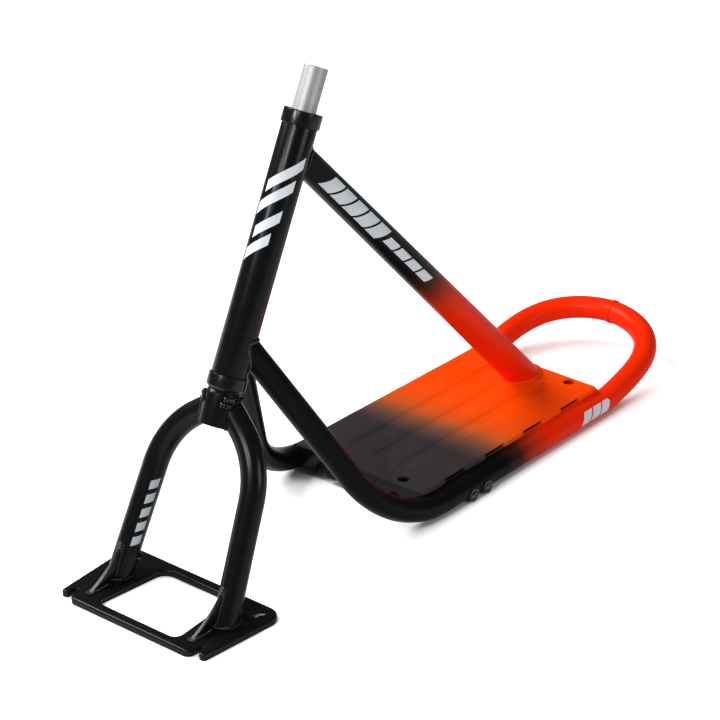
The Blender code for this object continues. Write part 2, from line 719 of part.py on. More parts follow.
def build_bosses(level, rails):
    """Short round bosses that point outwards, cut to the side tubes."""
    outside = BOSS_DIAMETER / 2
    inside = BOSS_BORE / 2
    face = SIDE_TUBE_OD / 2 + BOSS_STAND
    profile = [(inside, 0), (outside, 0), (outside, face), (inside, face)]
    for word, side in (("left", 1), ("right", -1)):
        for place, label in enumerate(("front", "rear")):
            x = BOSS_FIRST_X - place * BOSS_SPACING
            root = Vector((x, side * rail_half(BOSS_FIRST_X), BOSS_Z))
            matrix = Matrix.Translation(root) @ Matrix.Rotation(-side * math.pi / 2, 4, "X")
            boss = turned("%s_%s_boss" % (word, label), profile, "black", level, matrix)
            boolean(boss, rails[side])


def build_hoop_joiner(level):
    """Ring between the tube ends, with a spigot into each of them."""
    ring = JOINER_OD / 2
    spigot = SIDE_TUBE_OD / 2 - SIDE_TUBE_WALL - JOINER_CLEARANCE
    half = JOINER_WIDTH / 2
    end = half + JOINER_SPIGOT
    bore = JOINER_BORE / 2
    profile = [
        (bore, -end), (spigot, -end), (spigot, -half), (ring - MM, -half), (ring, MM - half),
        (ring, half - MM), (ring - MM, half), (spigot, half), (spigot, end), (bore, end),
    ]
    centre = Vector((HOOP_BACK_X, 0, rail_height(HOOP_BACK_X)))
    matrix = Matrix.Translation(centre) @ Matrix.Rotation(math.pi / 2, 4, "X")
    turned("hoop_joiner", profile, "red", level, matrix)


def top_tube_line():
    head = on_axis(UPPER_CUP_TOP - TOP_JOIN_DROP)
    foot = Vector((TOP_FOOT_X, 0, DECK_TOP + GAP))
    return head, foot


def build_top_tube(level):
    head, foot = top_tube_line()
    radii = [TOP_TUBE_OD_HEAD / 2, TOP_TUBE_OD_FOOT / 2]
    deck_plane = (foot, Vector((0, 0, 1)))
    tube = swept_tube(
        "top_tube", [head, foot], radii, TOP_TUBE_WALL, "red", level, end_plane=deck_plane)
    low, high = head_tube_ends()
    space = bar_cutter("top_head_space", on_axis(low), on_axis(high), HEAD_TUBE_OD / 2 + GAP, level)
    boolean(tube, space)


def top_foot_half():
    """Half the length of the top tube's footprint on the deck."""
    head, foot = top_tube_line()
    slope = (head - foot).normalized()
    return TOP_TUBE_OD_FOOT / 2 / slope.z


def deck_section(x):
    """Outline of the folded sheet at x, as points round its section."""
    half = rail_half(x) + DECK_OVERHANG
    fold = DECK_FOLD_RADIUS
    bottom = SIDE_TUBE_OD + GAP
    under = DECK_TOP - DECK_THICKNESS
    left = [(half, bottom)] + arc((half - fold, DECK_TOP - fold), fold, 0, 90, 4)
    right = [(-y, z) for y, z in left[::-1]]
    inner = half - DECK_THICKNESS
    inside = [(-inner, bottom), (-inner, under), (inner, under), (inner, bottom)]
    return [Vector((x, y, z)) for y, z in left + right + inside]


def groove_ends(y):
    front = DECK_FRONT_X - GROOVE_MARGIN_FRONT
    if y == 0:
        return front, TOP_FOOT_X + top_foot_half() + GROOVE_FOOT_CLEARANCE
    return front, DECK_REAR_X + GROOVE_MARGIN_REAR


def groove_cutter(name, y, parent):
    """Shallow trough with round ends and sloping walls, reaching above the deck."""
    front, rear = groove_ends(y)
    half = GROOVE_WIDTH / 2
    floor = GROOVE_FLOOR_WIDTH / 2
    middle = (half + floor) / 2
    levels = (
        (half, DECK_TOP + MM), (half, DECK_TOP), (middle, DECK_TOP - GROOVE_DEPTH / 2),
        (floor, DECK_TOP - GROOVE_DEPTH))
    steps = 5
    mesh_data = bmesh.new()
    rings = []
    for radius, height in levels:
        outline = arc((front - half, y), radius, -90, 90, steps)
        outline += arc((rear + half, y), radius, 90, 270, steps)
        rings.append([mesh_data.verts.new((px, py, height)) for px, py in outline])
    for ring, following in zip(rings, rings[1:]):
        for index in range(len(ring)):
            after = (index + 1) % len(ring)
            mesh_data.faces.new((ring[index], ring[after], following[after], following[index]))
    mesh_data.faces.new(rings[0])
    mesh_data.faces.new(rings[-1])
    return finish(name, mesh_data, None, parent)


def build_deck(level, rails):
    mesh_data = bmesh.new()
    sections = []
    for x in (DECK_FRONT_X, DECK_REAR_X):
        sections.append([mesh_data.verts.new(point) for point in deck_section(x)])
    front, rear = sections
    mesh_data.faces.new(front)
    mesh_data.faces.new(rear[::-1])
    for index in range(len(front)):
        after = (index + 1) % len(front)
        mesh_data.faces.new((front[index], front[after], rear[after], rear[index]))
    deck = finish("deck", mesh_data, "orange", level)

    for number, y in enumerate((-GROOVE_SPACING, 0, GROOVE_SPACING)):
        boolean(deck, groove_cutter("groove_space_%d" % number, y, level))
    hole_rows = (DECK_FRONT_X - DECK_HOLE_INSET_FRONT, DECK_REAR_X + DECK_HOLE_INSET_REAR)
    for row, x in enumerate(hole_rows):
        for side in (1, -1):
            centre = Vector((x, side * DECK_HOLE_Y, DECK_TOP))
            reach = Vector((0, 0, 2 * DECK_THICKNESS))
            name = "deck_hole_%d_%s" % (row, "left" if side > 0 else "right")
            hole = bar_cutter(name, centre - reach, centre + reach, DECK_HOLE_DIAMETER / 2, level)
            boolean(deck, hole)
    under = DECK_TOP - DECK_THICKNESS
    for side in (1, -1):
        boolean(deck, rails[side])
        for index in range(DECK_SLOT_COUNT):
            x_front = DECK_FRONT_X - DECK_SLOT_START - index * DECK_SLOT_PITCH
            x_rear = x_front - DECK_SLOT_LENGTH
            edge = rail_half((x_front + x_rear) / 2)
            inner = edge + DECK_OVERHANG - DECK_THICKNESS - MM
            outer = edge + 4 * DECK_OVERHANG
            outline = [
                (edge, under), (edge, DECK_TOP + DECK_THICKNESS), (outer, DECK_TOP + DECK_THICKNESS),
                (outer, RAIL_Z), (inner, RAIL_Z), (inner, under),
            ]
            # Local x, y and z become the world's y, z and x
            matrix = Matrix(((0, 0, 1, 0), (side, 0, 0, 0), (0, 1, 0, 0), (0, 0, 0, 1)))
            name = "deck_slot_%s_%d" % ("left" if side > 0 else "right", index)
            boolean(deck, extruded(name, outline, x_rear, x_front, None, level, matrix))


def build_cross_plates(level, rails):
    """Upright plates between the rails, with a notch at each side of the middle."""
    top = DECK_TOP - DECK_THICKNESS - GAP
    notch = CROSS_NOTCH_WIDTH / 2
    for word, front in (("front", DECK_FRONT_X), ("rear", DECK_REAR_X + CROSS_THICKNESS)):
        half = rail_half(front)
        inner = half + DECK_OVERHANG - DECK_THICKNESS - GAP
        outline = [(inner, top), (-inner, top), (-inner, CROSS_BOTTOM)]
        for y in (-CROSS_NOTCH_Y, CROSS_NOTCH_Y):
            outline.append((y - notch, CROSS_BOTTOM))
            outline += arc((y, CROSS_NOTCH_TOP - notch), notch, 180, 0, 8)
            outline.append((y + notch, CROSS_BOTTOM))
        outline.append((inner, CROSS_BOTTOM))
        matrix = Matrix(((0, 0, 1, 0), (1, 0, 0, 0), (0, 1, 0, 0), (0, 0, 0, 1)))
        plate = extruded(
            word + "_cross_plate", outline, front - CROSS_THICKNESS, front, "black", level, matrix)
        for side in (1, -1):
            boolean(plate, rails[side])


def main():
    clear_scene()
    level = bpy.data.objects.new("axis_foot", None)
    lean = bpy.data.objects.new("steering_axis", None)
    for empty in (level, lean):
        bpy.context.collection.objects.link(empty)
    level.location = (AXIS_FOOT_X, 0, 0)
    lean.parent = level
    lean.rotation_euler = (0, -HEAD_LEAN, 0)

    build_head_tube(lean)
    build_headset(lean)
    build_steerer(lean)
    build_legs(level)
    build_base_plate(level)
    build_gussets(level)
    build_side_tubes(level)
    build_hoop_joiner(level)
    build_top_tube(level)
    rails = {}
    for word, side in (("left", 1), ("right", -1)):
        radius = SIDE_TUBE_OD / 2 + GAP
        rails[side] = swept_cutter(word + "_rail_space", rail_part(side), radius, level)
    build_deck(level, rails)
    build_cross_plates(level, rails)
    build_bosses(level, rails)


main()
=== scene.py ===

import bpy
import bmesh
import json
import math
from itertools import groupby
from mathutils import Matrix, Quaternion, Vector


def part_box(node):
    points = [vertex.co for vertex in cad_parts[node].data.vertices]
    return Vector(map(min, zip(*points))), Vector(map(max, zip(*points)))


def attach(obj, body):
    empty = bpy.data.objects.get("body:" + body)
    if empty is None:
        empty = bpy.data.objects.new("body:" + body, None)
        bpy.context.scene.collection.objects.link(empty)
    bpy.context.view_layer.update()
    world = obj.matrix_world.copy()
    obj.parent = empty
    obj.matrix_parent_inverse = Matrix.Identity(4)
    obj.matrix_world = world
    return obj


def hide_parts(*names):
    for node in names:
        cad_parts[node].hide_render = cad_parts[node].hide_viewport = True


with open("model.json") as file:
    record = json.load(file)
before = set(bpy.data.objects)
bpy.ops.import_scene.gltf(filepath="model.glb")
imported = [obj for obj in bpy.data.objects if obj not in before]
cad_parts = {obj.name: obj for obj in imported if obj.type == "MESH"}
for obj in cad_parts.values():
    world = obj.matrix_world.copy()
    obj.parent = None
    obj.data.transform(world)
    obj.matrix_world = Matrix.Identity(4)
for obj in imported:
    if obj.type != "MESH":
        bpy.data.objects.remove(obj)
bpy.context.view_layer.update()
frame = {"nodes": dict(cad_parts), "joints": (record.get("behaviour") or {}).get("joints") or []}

mm = 0.001
steering = next(joint for joint in frame["joints"] if joint["name"] == "steering")
axisFoot = Vector(steering["pos_m"])
axisUp = Vector(steering["axis"]).normalized()
axisAcross = Vector((axisUp.z, 0, -axisUp.x))    # square to the axis, forward and up
xWay, yWay, zWay = Vector((1, 0, 0)), Vector((0, 1, 0)), Vector((0, 0, 1))
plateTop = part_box("base_plate")[1].z
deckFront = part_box("deck")[1].x
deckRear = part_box("deck")[0].x
sides = (("left", 1), ("right", -1))


# Sizes and places

def metres(sizes, **others):    # lengths are written in millimetres, other values as they are
    return {**{name: size * mm for name, size in sizes.items()}, **others}


def onAxis(station, offset=0.0, y=0.0):    # a point beside the steering axis
    return axisFoot + axisUp * station + axisAcross * offset + yWay * y


def level(x, y=0.0, z=0.0):    # a point measured from where the axis meets the floor
    return Vector((axisFoot.x + x, y, z))


def spoke(first, second, turn):    # a direction between two others
    return first * math.cos(turn) + second * math.sin(turn)


def wholeTurn(count):    # angles round a circle
    return [2 * math.pi * step / count for step in range(count)]


def corner(here, before, after, radius):    # an arc's centre, and from there its start and end
    before, after = (before - here).normalized(), (after - here).normalized()
    half = before.angle(after) / 2
    middle = here + (before + after).normalized() * radius / math.sin(half)
    return middle, *(here + way * radius / math.tan(half) - middle for way in (before, after))


def bend(start, knee, end, radius, steps):    # straight, arc, straight
    middle, first, last = corner(knee, start, end, radius)
    arc = [middle + first.slerp(last, step / steps) * radius for step in range(steps + 1)]
    return [start] + arc + [end]


def arcPoints(x, y, radius, start, end, steps):    # angles in degrees
    turns = [math.radians(start + (end - start) * step / steps) for step in range(steps + 1)]
    return [(x + radius * math.cos(turn), y + radius * math.sin(turn)) for turn in turns]


def roundedLoop(corners, steps=8):    # corners are (x, y, radius)
    loop = []
    for index, (x, y, radius) in enumerate(corners):
        if radius == 0:
            loop.append((x, y))
            continue
        before, after = (Vector(corners[near % len(corners)][:2]) for near in (index - 1, index + 1))
        middle, first, last = corner(Vector((x, y)), before, after, radius)
        turn = first.angle_signed(last)
        loop += [tuple(middle + Matrix.Rotation(-turn * step / steps, 2) @ first)
                 for step in range(steps + 1)]
    return loop


# Node trees

class Wire:    # a socket that takes part in sums
    def __init__(self, bench, socket):
        self.bench = bench
        self.socket = socket

    def beside(self, output):    # another output of the same node
        return Wire(self.bench, self.socket.node.outputs[output])

    def sum(self, operation, first, second):
        return self.bench.make("ShaderNodeMath", {"operation": operation}, {0: first, 1: second})

    def __add__(self, other):
        return self.sum("ADD", self, other)

    def __radd__(self, other):
        return self.sum("ADD", other, self)

    def __sub__(self, other):
        return self.sum("SUBTRACT", self, other)

    def __rsub__(self, other):
        return self.sum("SUBTRACT", other, self)

    def __mul__(self, other):
        return self.sum("MULTIPLY", self, other)

    def __rmul__(self, other):
        return self.sum("MULTIPLY", other, self)


class Bench:    # where the nodes of one tree are made
    def __init__(self, tree):
        self.tree = tree

    def make(self, kind, settings=None, sockets=None, out=0):
        node = self.tree.nodes.new(kind)
        for key, value in (settings or {}).items():
            if key == "stops":
                self.setStops(node.color_ramp, value)
            else:
                setattr(node, key, value)
        for key, value in (sockets or {}).items():
            if isinstance(value, Wire):
                self.tree.links.new(value.socket, node.inputs[key])
            else:
                node.inputs[key].default_value = value
        return Wire(self, node.outputs[out]) if node.outputs else node

    def setStops(self, ramp, stops):
        while len(ramp.elements) < len(stops):
            ramp.elements.new(0.5)
        for element, (place, colour) in zip(ramp.elements, stops):
            element.position = place
            element.color = (*colour, 1)


def newTree(name, values):    # a geometry tree with named inputs
    tree = bpy.data.node_groups.new(name, "GeometryNodeTree")
    for label, kind in (("Geometry", "Geometry"), *values):
        tree.interface.new_socket(label, in_out="INPUT", socket_type="NodeSocket" + kind)
    tree.interface.new_socket("Geometry", in_out="OUTPUT", socket_type="NodeSocketGeometry")
    return Bench(tree)


def endTree(bench, shape, paint):
    for kind in ("GeometryNodeRealizeInstances", "GeometryNodeSetShadeSmooth"):
        shape = bench.make(kind, None, {"Geometry": shape})
    painted = bench.make("GeometryNodeSetMaterial", None, {"Geometry": shape, "Material": paint})
    bench.make("NodeGroupOutput", None, {"Geometry": painted})
    return bench


def applyTree(item, bench, values):    # sets the inputs by identifier, then makes a plain mesh
    modifier = item.modifiers.new(bench.tree.name, "NODES")
    modifier.node_group = bench.tree
    for socket in bench.tree.interface.items_tree:
        if socket.in_out == "INPUT" and socket.name in values:
            modifier[socket.identifier] = values[socket.name]
    return plainMesh(item)


# Meshes

meshSizes = metres({"merge": 0.002, "sliver": 0.001}, sharp=30)


def placed(name, data):
    item = bpy.data.objects.new(name, data)
    bpy.context.collection.objects.link(item)
    return item


def plainMesh(item):    # the evaluated shape as a new object without modifiers
    bpy.context.view_layer.update()
    shaped = item.evaluated_get(bpy.context.evaluated_depsgraph_get())
    mesh = bpy.data.meshes.new_from_object(shaped)
    name = mesh.name = item.name
    bpy.data.objects.remove(item, do_unlink=True)
    return placed(name, mesh)


def settle(shape, mesh, sharp, outward):    # doubles merged, smooth apart from sharp edges
    bmesh.ops.remove_doubles(shape, verts=shape.verts, dist=meshSizes["merge"])
    bmesh.ops.dissolve_degenerate(shape, edges=shape.edges, dist=meshSizes["sliver"])
    if outward:
        bmesh.ops.recalc_face_normals(shape, faces=shape.faces)
    shape.to_mesh(mesh)
    shape.free()
    mesh.shade_smooth()
    mesh.set_sharp_from_angle(angle=math.radians(sharp))


def objectFrom(name, shape, sharp=meshSizes["sharp"]):
    mesh = bpy.data.meshes.new(name)
    settle(shape, mesh, sharp, True)
    return placed(name, mesh)


def smoothAgain(item):
    shape = bmesh.new()
    shape.from_mesh(item.data)
    settle(shape, item.data, meshSizes["sharp"], False)


def cut(item, cutters):
    for cutter in cutters:
        modifier = item.modifiers.new(cutter.name, "BOOLEAN")
        modifier.operation = "DIFFERENCE"
        modifier.solver = "EXACT"
        modifier.object = cutter
    plain = plainMesh(item)
    for cutter in cutters:
        bpy.data.objects.remove(cutter, do_unlink=True)
    smoothAgain(plain)
    return plain


def finished(item, material, body, slot, *nodes):    # colours a piece and ties it to the frame
    item.data.materials.clear()
    item.data.materials.append(material)
    for face in item.data.polygons:
        face.material_index = 0
    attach(item, body)
    if nodes:
        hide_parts(*nodes)


def bridge(shape, first, second, closed=True):    # faces between two rows of corners
    for index in range(len(first) if closed else len(first) - 1):
        after = (index + 1) % len(first)
        shape.faces.new((first[index], first[after], second[after], second[index]))


def loft(name, rows, sharp=meshSizes["sharp"], ended=True):    # rows are closed outlines
    shape = bmesh.new()
    rings = [[shape.verts.new(point) for point in row] for row in rows]
    for first, second in zip(rings, rings[1:] if ended else rings[1:] + rings[:1]):
        bridge(shape, first, second)
    if ended:
        shape.faces.new(rings[0])
        shape.faces.new(rings[-1])
    return objectFrom(name, shape, sharp)


def turned(name, outline, foot, along, across, steps=96):    # the outline is (radius, height)
    spokes = [spoke(across, along.cross(across), turn) for turn in wholeTurn(steps)]
    return loft(name, [[foot + way * radius + along * height for way in spokes]
                       for radius, height in outline], ended=False)


def around(along, radius, count):    # steps from a bar's middle line to its surface
    across = along.orthogonal().normalized()
    return [spoke(across, along.cross(across), turn) * radius for turn in wholeTurn(count)]


def rod(start, end, radius, sides=64):    # a plain solid bar, for cutting
    ring = around((end - start).normalized(), radius, sides)
    return loft("rod", [[place + step for step in ring] for place in (start, end)])


def spaceOnAxis(low, high, radius):    # cuts a tube off just inside another one's skin
    return rod(onAxis(low), onAxis(high), radius - 0.5 * mm)


def curveThrough(name, points, closed=False, radii=None):
    data = bpy.data.curves.new(name, "CURVE")
    data.dimensions = "3D"
    spline = data.splines.new("POLY")
    spline.points.add(len(points) - 1)
    for index, point in enumerate(points):
        spline.points[index].co = (*point, 1)
        spline.points[index].radius = radii[index] if radii else 1
    spline.use_cyclic_u = closed
    return placed(name, data)


# A tube swept along a path, and a weld laid along a seam

weldSizes = metres({"spacing": 2.1, "width": 3.1, "length": 1.55},
                   segments=10, rings=6, least=0.88, most=1.12)


def makeTubeTree():
    bench = newTree("tubeAlongPath", (("Sides", "Int"), ("Material", "Material")))
    source = bench.make("NodeGroupInput", out="Geometry")
    ring = bench.make("GeometryNodeCurvePrimitiveCircle", None, {
        "Resolution": source.beside("Sides"), "Radius": 1.0})
    skin = bench.make("GeometryNodeCurveToMesh", None, {
        "Curve": source, "Profile Curve": ring, "Scale": bench.make("GeometryNodeInputRadius"),
        "Fill Caps": True})
    return endTree(bench, skin, source.beside("Material"))


def makeWeldTree():
    bench = newTree("weldAlongSeam", (
        ("Spacing", "Float"), ("Width", "Float"), ("Length", "Float"), ("Seed", "Int"),
        ("Material", "Material")))
    source = bench.make("NodeGroupInput", out="Geometry")
    points = bench.make("GeometryNodeCurveToPoints", {"mode": "LENGTH"}, {
        "Curve": source, "Length": source.beside("Spacing")})
    ripple = bench.make("GeometryNodeMeshUVSphere", None, {
        "Segments": weldSizes["segments"], "Rings": weldSizes["rings"], "Radius": 1.0})
    spread = bench.make("FunctionNodeRandomValue", {"data_type": "FLOAT"}, {
        2: weldSizes["least"], 3: weldSizes["most"], "Seed": source.beside("Seed")}, out=1)
    width = source.beside("Width") * spread
    size = bench.make("ShaderNodeCombineXYZ", None, {0: width, 1: width, 2: source.beside("Length")})
    laid = bench.make("GeometryNodeInstanceOnPoints", None, {
        "Points": points, "Instance": ripple, "Rotation": points.beside("Rotation"), "Scale": size})
    return endTree(bench, laid, source.beside("Material"))


tubeTree = makeTubeTree()
weldTree = makeWeldTree()
tubeSides = 64


def sweptTube(name, points, radii, material):
    path = curveThrough(name, points, radii=radii)
    tube = applyTree(path, tubeTree, {"Sides": tubeSides, "Material": material})
    smoothAgain(tube)
    return tube


def weld(name, seams, material, body, slot, scale=1.0):    # seams are (points, closed)
    shape = bmesh.new()
    for number, (points, closed) in enumerate(seams):
        part = applyTree(curveThrough("%s_%d" % (name, number), points, closed), weldTree, {
            "Spacing": weldSizes["spacing"] * scale, "Width": weldSizes["width"] * scale,
            "Length": weldSizes["length"] * scale, "Seed": number + 1, "Material": material})
        shape.from_mesh(part.data)
        bpy.data.objects.remove(part, do_unlink=True)
    mesh = bpy.data.meshes.new(name)
    shape.to_mesh(mesh)
    shape.free()
    mesh.shade_smooth()
    finished(placed(name, mesh), material, body, slot)


def seamOnPlane(foot, along, radius, planePoint, planeNormal, count=72):
    points = [foot + step for step in around(along, radius, count)]
    return [point + along * ((planePoint - point).dot(planeNormal) / along.dot(planeNormal))
            for point in points]


def seamOnBar(foot, along, radius, barRadius, count=96):    # the bar is on the steering axis
    seam = []
    way = along - axisUp * along.dot(axisUp)
    for step in around(along, radius, count):
        point = foot + step
        gap = point - axisFoot
        gap = gap - axisUp * gap.dot(axisUp)
        a, b, c = way.dot(way), 2 * gap.dot(way), gap.dot(gap) - barRadius ** 2
        if b * b >= 4 * a * c:
            seam.append(point + along * ((-b + math.sqrt(b * b - 4 * a * c)) / (2 * a)))
    return seam


def runs(points, keep):    # the kept stretches of a closed seam, each as an open one
    marks = [keep(point) for point in points]
    if all(marks):
        return [(points, True)]
    start = marks.index(False)
    kept = [list(run) for mark, run in groupby(points[start:] + points[:start], keep) if mark]
    return [(run, False) for run in kept if len(run) > 2]


# Finishes

def screen(red, green, blue):    # a colour as a screen shows it, made linear
    return tuple((part / 255 / 12.92) if part < 10.3 else ((part / 255 + 0.055) / 1.055) ** 2.4
                 for part in (red, green, blue))


class Finish(Bench):    # one material with its nodes
    def __init__(self, name):
        self.material = bpy.data.materials.new(name)
        self.material.use_nodes = True
        super().__init__(self.material.node_tree)
        self.tree.nodes.clear()

    def place(self):    # the piece's own coordinates
        return self.make("ShaderNodeTexCoord", out="Object")

    def noise(self, scale, detail=3.0, roughness=0.5, vector=None):
        return self.make("ShaderNodeTexNoise", None, {
            "Vector": vector or self.place(), "Scale": scale, "Detail": detail,
            "Roughness": roughness})

    def between(self, value, low, high, style="SMOOTHSTEP"):    # 0 at low, 1 at high
        return self.make("ShaderNodeMapRange", {"interpolation_type": style}, {
            "Value": value, "From Min": low, "From Max": high, "To Min": 0.0, "To Max": 1.0})

    def mix(self, mask, first, second, blend="MIX"):    # colours
        return self.make("ShaderNodeMix", {"data_type": "RGBA", "blend_type": blend}, {
            0: mask, 6: self.rgba(first), 7: self.rgba(second)}, out=2)

    def rgba(self, colour):
        return colour if isinstance(colour, Wire) else (*colour, 1)

    def vector(self, operation, first, second, out):
        return self.make("ShaderNodeVectorMath", {"operation": operation}, {
            0: first, 1: tuple(second)}, out)

    def bump(self, height, distance, under=None):
        sockets = {"Height": height, "Distance": distance, "Strength": 1.0}
        if under:
            sockets["Normal"] = under
        return self.make("ShaderNodeBump", None, sockets)

    def surface(self, sockets):
        shader = self.make("ShaderNodeBsdfPrincipled", None, sockets)
        self.make("ShaderNodeOutputMaterial", None, {"Surface": shader})
        return self.material


coat = {    # colours as a screen shows them, depths in metres, the rest are noise scales
    "black": (10, 11, 12), "orange": (248, 71, 2), "red": (243, 42, 3),
    "grain": 950.0, "grainDepth": 0.022 * mm, "waves": 130.0, "waveDepth": 0.05 * mm,
    "cloud": 14.0, "dust": 420.0, "drift": 16.0, "speckle": 700.0,
}


def powderCoat(name, colourOf, roughness=0.25, specular=0.16):    # satin, with a fine orange peel
    finish = Finish(name)
    colour = colourOf(finish)
    grain = finish.noise(coat["grain"], 2.0)
    waves = finish.noise(coat["waves"], 2.0)
    cloud = finish.noise(coat["cloud"], 4.0, 0.6)
    return finish.surface({
        "Base Color": colour,
        "Roughness": roughness + (cloud - 0.5) * 0.10 + (grain - 0.5) * 0.06,
        "Specular IOR Level": specular,
        "Normal": finish.bump(grain, coat["grainDepth"], finish.bump(waves, coat["waveDepth"]))})


def plainBlack(finish):
    dust = finish.between(finish.noise(coat["dust"], 4.0, 0.7), 0.62, 0.86)
    tone = finish.mix(finish.noise(22.0) * 0.5, screen(*coat["black"]), screen(16, 17, 18))
    return finish.mix(dust * 0.05, tone, screen(90, 92, 96))


def fadeAlong(measure, stops, spread):    # black that turns to orange along a measure
    def colourOf(finish):
        along = measure(finish)
        drift = (finish.noise(coat["drift"]) - 0.5) * spread
        drift += (finish.noise(coat["speckle"], 1.0) - 0.5) * spread * 0.35
        tint = finish.make("ShaderNodeValToRGB", {
            "stops": [(place, screen(*colour)) for place, colour in stops]}, {0: along + drift})
        cloud = finish.mix(finish.noise(30.0), (0.9, 0.9, 0.9), (1.0, 1.0, 1.0))
        return finish.mix(0.35, tint, cloud, "MULTIPLY")
    return colourOf


def alongX(front, rear):    # 0 at front, 1 at rear
    def measure(finish):
        x = finish.make("ShaderNodeSeparateXYZ", None, {0: finish.place()})
        return finish.between(x, axisFoot.x + front, axisFoot.x + rear, "LINEAR")
    return measure


def alongLine(start, end):    # 0 at start, 1 at end
    way = end - start

    def measure(finish):
        reach = finish.vector("SUBTRACT", finish.place(), start, 0)
        return finish.vector("DOT_PRODUCT", reach, way / way.length_squared, "Value")
    return measure


def ink(dark, light):
    return lambda finish: finish.mix(finish.noise(40.0), screen(*dark), screen(*light))


metal = {    # noise scales and depths in metres
    "brush": 260.0, "brushStretch": 12, "brushDepth": 0.02 * mm, "specks": 520.0,
    "lathe": 6000.0, "latheDepth": 0.012 * mm,
}


def brushedAluminium():
    finish = Finish("brushedAluminium")
    across = finish.make("ShaderNodeMapping", None, {
        "Vector": finish.place(), "Rotation": (0, math.atan2(axisUp.x, axisUp.z), 0),
        "Scale": (1, 1, metal["brushStretch"])})
    rings = finish.noise(metal["brush"], 4.0, 0.6, across)
    cloud = finish.noise(60.0)
    specks = finish.between(finish.noise(metal["specks"], 2.0), 0.66, 0.74)
    tone = finish.mix(rings, screen(142, 143, 141), screen(184, 185, 182))
    return finish.surface({
        "Base Color": finish.mix(specks * 0.6, tone, screen(84, 84, 82)), "Metallic": 0.55,
        "Roughness": 0.50 + (rings - 0.5) * 0.16 + (cloud - 0.5) * 0.08,
        "Normal": finish.bump(rings, metal["brushDepth"])})


def turnedMetal(name, colour, roughness, metallic, specular=0.5):    # fine lathe rings
    finish = Finish(name)
    up = finish.vector("DOT_PRODUCT", finish.place(), axisUp, "Value")
    height = finish.make("ShaderNodeCombineXYZ", None, {2: up * metal["lathe"]})
    rings = finish.noise(1.0, 2.0, 0.5, height)
    tone = finish.mix(finish.noise(180.0) * 0.6, colour, tuple(part * 0.75 for part in colour))
    return finish.surface({
        "Base Color": tone, "Metallic": metallic, "Specular IOR Level": specular,
        "Roughness": roughness + (rings - 0.5) * 0.14,
        "Normal": finish.bump(rings, metal["latheDepth"])})


topTube = metres({
    "headRadius": 16.75, "footRadius": 20.75, "reachIn": 40, "spaceLow": 400, "spaceHigh": 640,
    "deckSpaceLow": -60, "deckSpaceRadius": 80, "sunk": 0.3, "weldOut": 0.2},
    head=onAxis(549.5 * mm), foot=level(-685 * mm, 0, 38.75 * mm))

blackCoat = powderCoat("blackCoat", plainBlack)
beadCoat = powderCoat("beadBlackCoat", plainBlack, 0.22, 0.50)
anodised = turnedMetal("blackAnodised", screen(15, 15, 16), 0.22, 0.0, 0.32)
bareTube = brushedAluminium()
bearingSteel = turnedMetal("bearingSteel", screen(176, 178, 182), 0.22, 1.0)
cageBrass = turnedMetal("cageBrass", screen(196, 160, 92), 0.34, 1.0)
railCoat = powderCoat("railFadeCoat", fadeAlong(alongX(-0.500, -0.600), (
    (0.0, coat["black"]), (0.30, (60, 26, 18)), (0.58, (168, 44, 14)), (1.0, coat["red"])),
    0.10), 0.30, 0.06)
# the deck's dark end is a grey-brown, lighter than the black on the tubes: painted sheen that stands
# in for the black paint's grazing reflection
deckCoat = powderCoat("deckFadeCoat", fadeAlong(alongX(-0.460, -0.605), (
    (0.0, (50, 46, 47)), (0.13, (78, 58, 54)), (0.27, (122, 72, 50)), (0.42, (186, 82, 32)),
    (0.58, (220, 76, 14)), (1.0, coat["orange"])), 0.05), 0.44, 0.04)
topCoat = powderCoat("topFadeCoat", fadeAlong(alongLine(topTube["head"], topTube["foot"]), (
    (0.46, coat["black"]), (0.52, (58, 28, 22)), (0.57, (150, 44, 20)), (0.62, (222, 46, 14)),
    (0.66, coat["red"])), 0.03), 0.32, 0.06)
printWhite = powderCoat("printWhite", ink((200, 206, 212), (220, 225, 230)), 0.42)
printSilver = powderCoat("printSilver", ink((164, 172, 176), (188, 195, 199)), 0.36)
print("finishes made")


# Thin printed bars that lie on a curved surface

printSizes = metres({"lift": 0.2, "sink": 0.05}, steps=12)


def printedBars(name, bars, place, material, body, slot):    # place puts a bar's four (u, v) corners
    shape = bmesh.new()
    steps = printSizes["steps"]
    rim = [(i, 0) for i in range(steps)] + [(steps, j) for j in range(steps)]
    rim += [(i, steps) for i in range(steps, 0, -1)] + [(0, j) for j in range(steps, 0, -1)]
    for corners in bars:
        rims = []
        for lift in (printSizes["lift"], -printSizes["sink"]):
            rows = []
            for a in (step / steps for step in range(steps + 1)):
                row = []
                for b in (step / steps for step in range(steps + 1)):
                    shares = ((1 - a) * (1 - b), a * (1 - b), a * b, (1 - a) * b)
                    u, v = (sum(point[k] * share for point, share in zip(corners, shares))
                            for k in (0, 1))
                    row.append(shape.verts.new(place(u, v, lift)))
                rows.append(row)
            for row, following in zip(rows, rows[1:]):
                bridge(shape, row, following, False)
            rims.append([rows[i][j] for i, j in rim])
        bridge(shape, *rims)
    finished(objectFrom(name, shape), material, body, slot)


def slanted(first, last, low, high, slant):    # a bar's corners, moved by slant at its high end
    return (first, low), (last, low), (last + slant, high), (first + slant, high)


# Steering head

head = metres({
    "cupBottom": 266, "headsetLength": 329, "cupHeight": 17.5, "cupRadius": 23.1,
    "tubeRadius": 21, "tubeBore": 17.4, "steererRadius": 14.3, "steererBore": 11.3,
    "steererTop": 647, "crownTop": 264.5, "crownBottom": 223, "crownRadius": 20.5,
    "crownNeck": 1.8, "crownSlope": 4, "pocketRadius": 20.3, "pocketDepth": 10.5,
    "skirtRadius": 17, "skirtBore": 15.4, "skirtLength": 9, "edge": 0.8, "lowerMouth": 2.2,
    "coverBore": 14.7, "coverRadius": 19.9, "coverHeight": 1.3, "fine": 0.3,
})


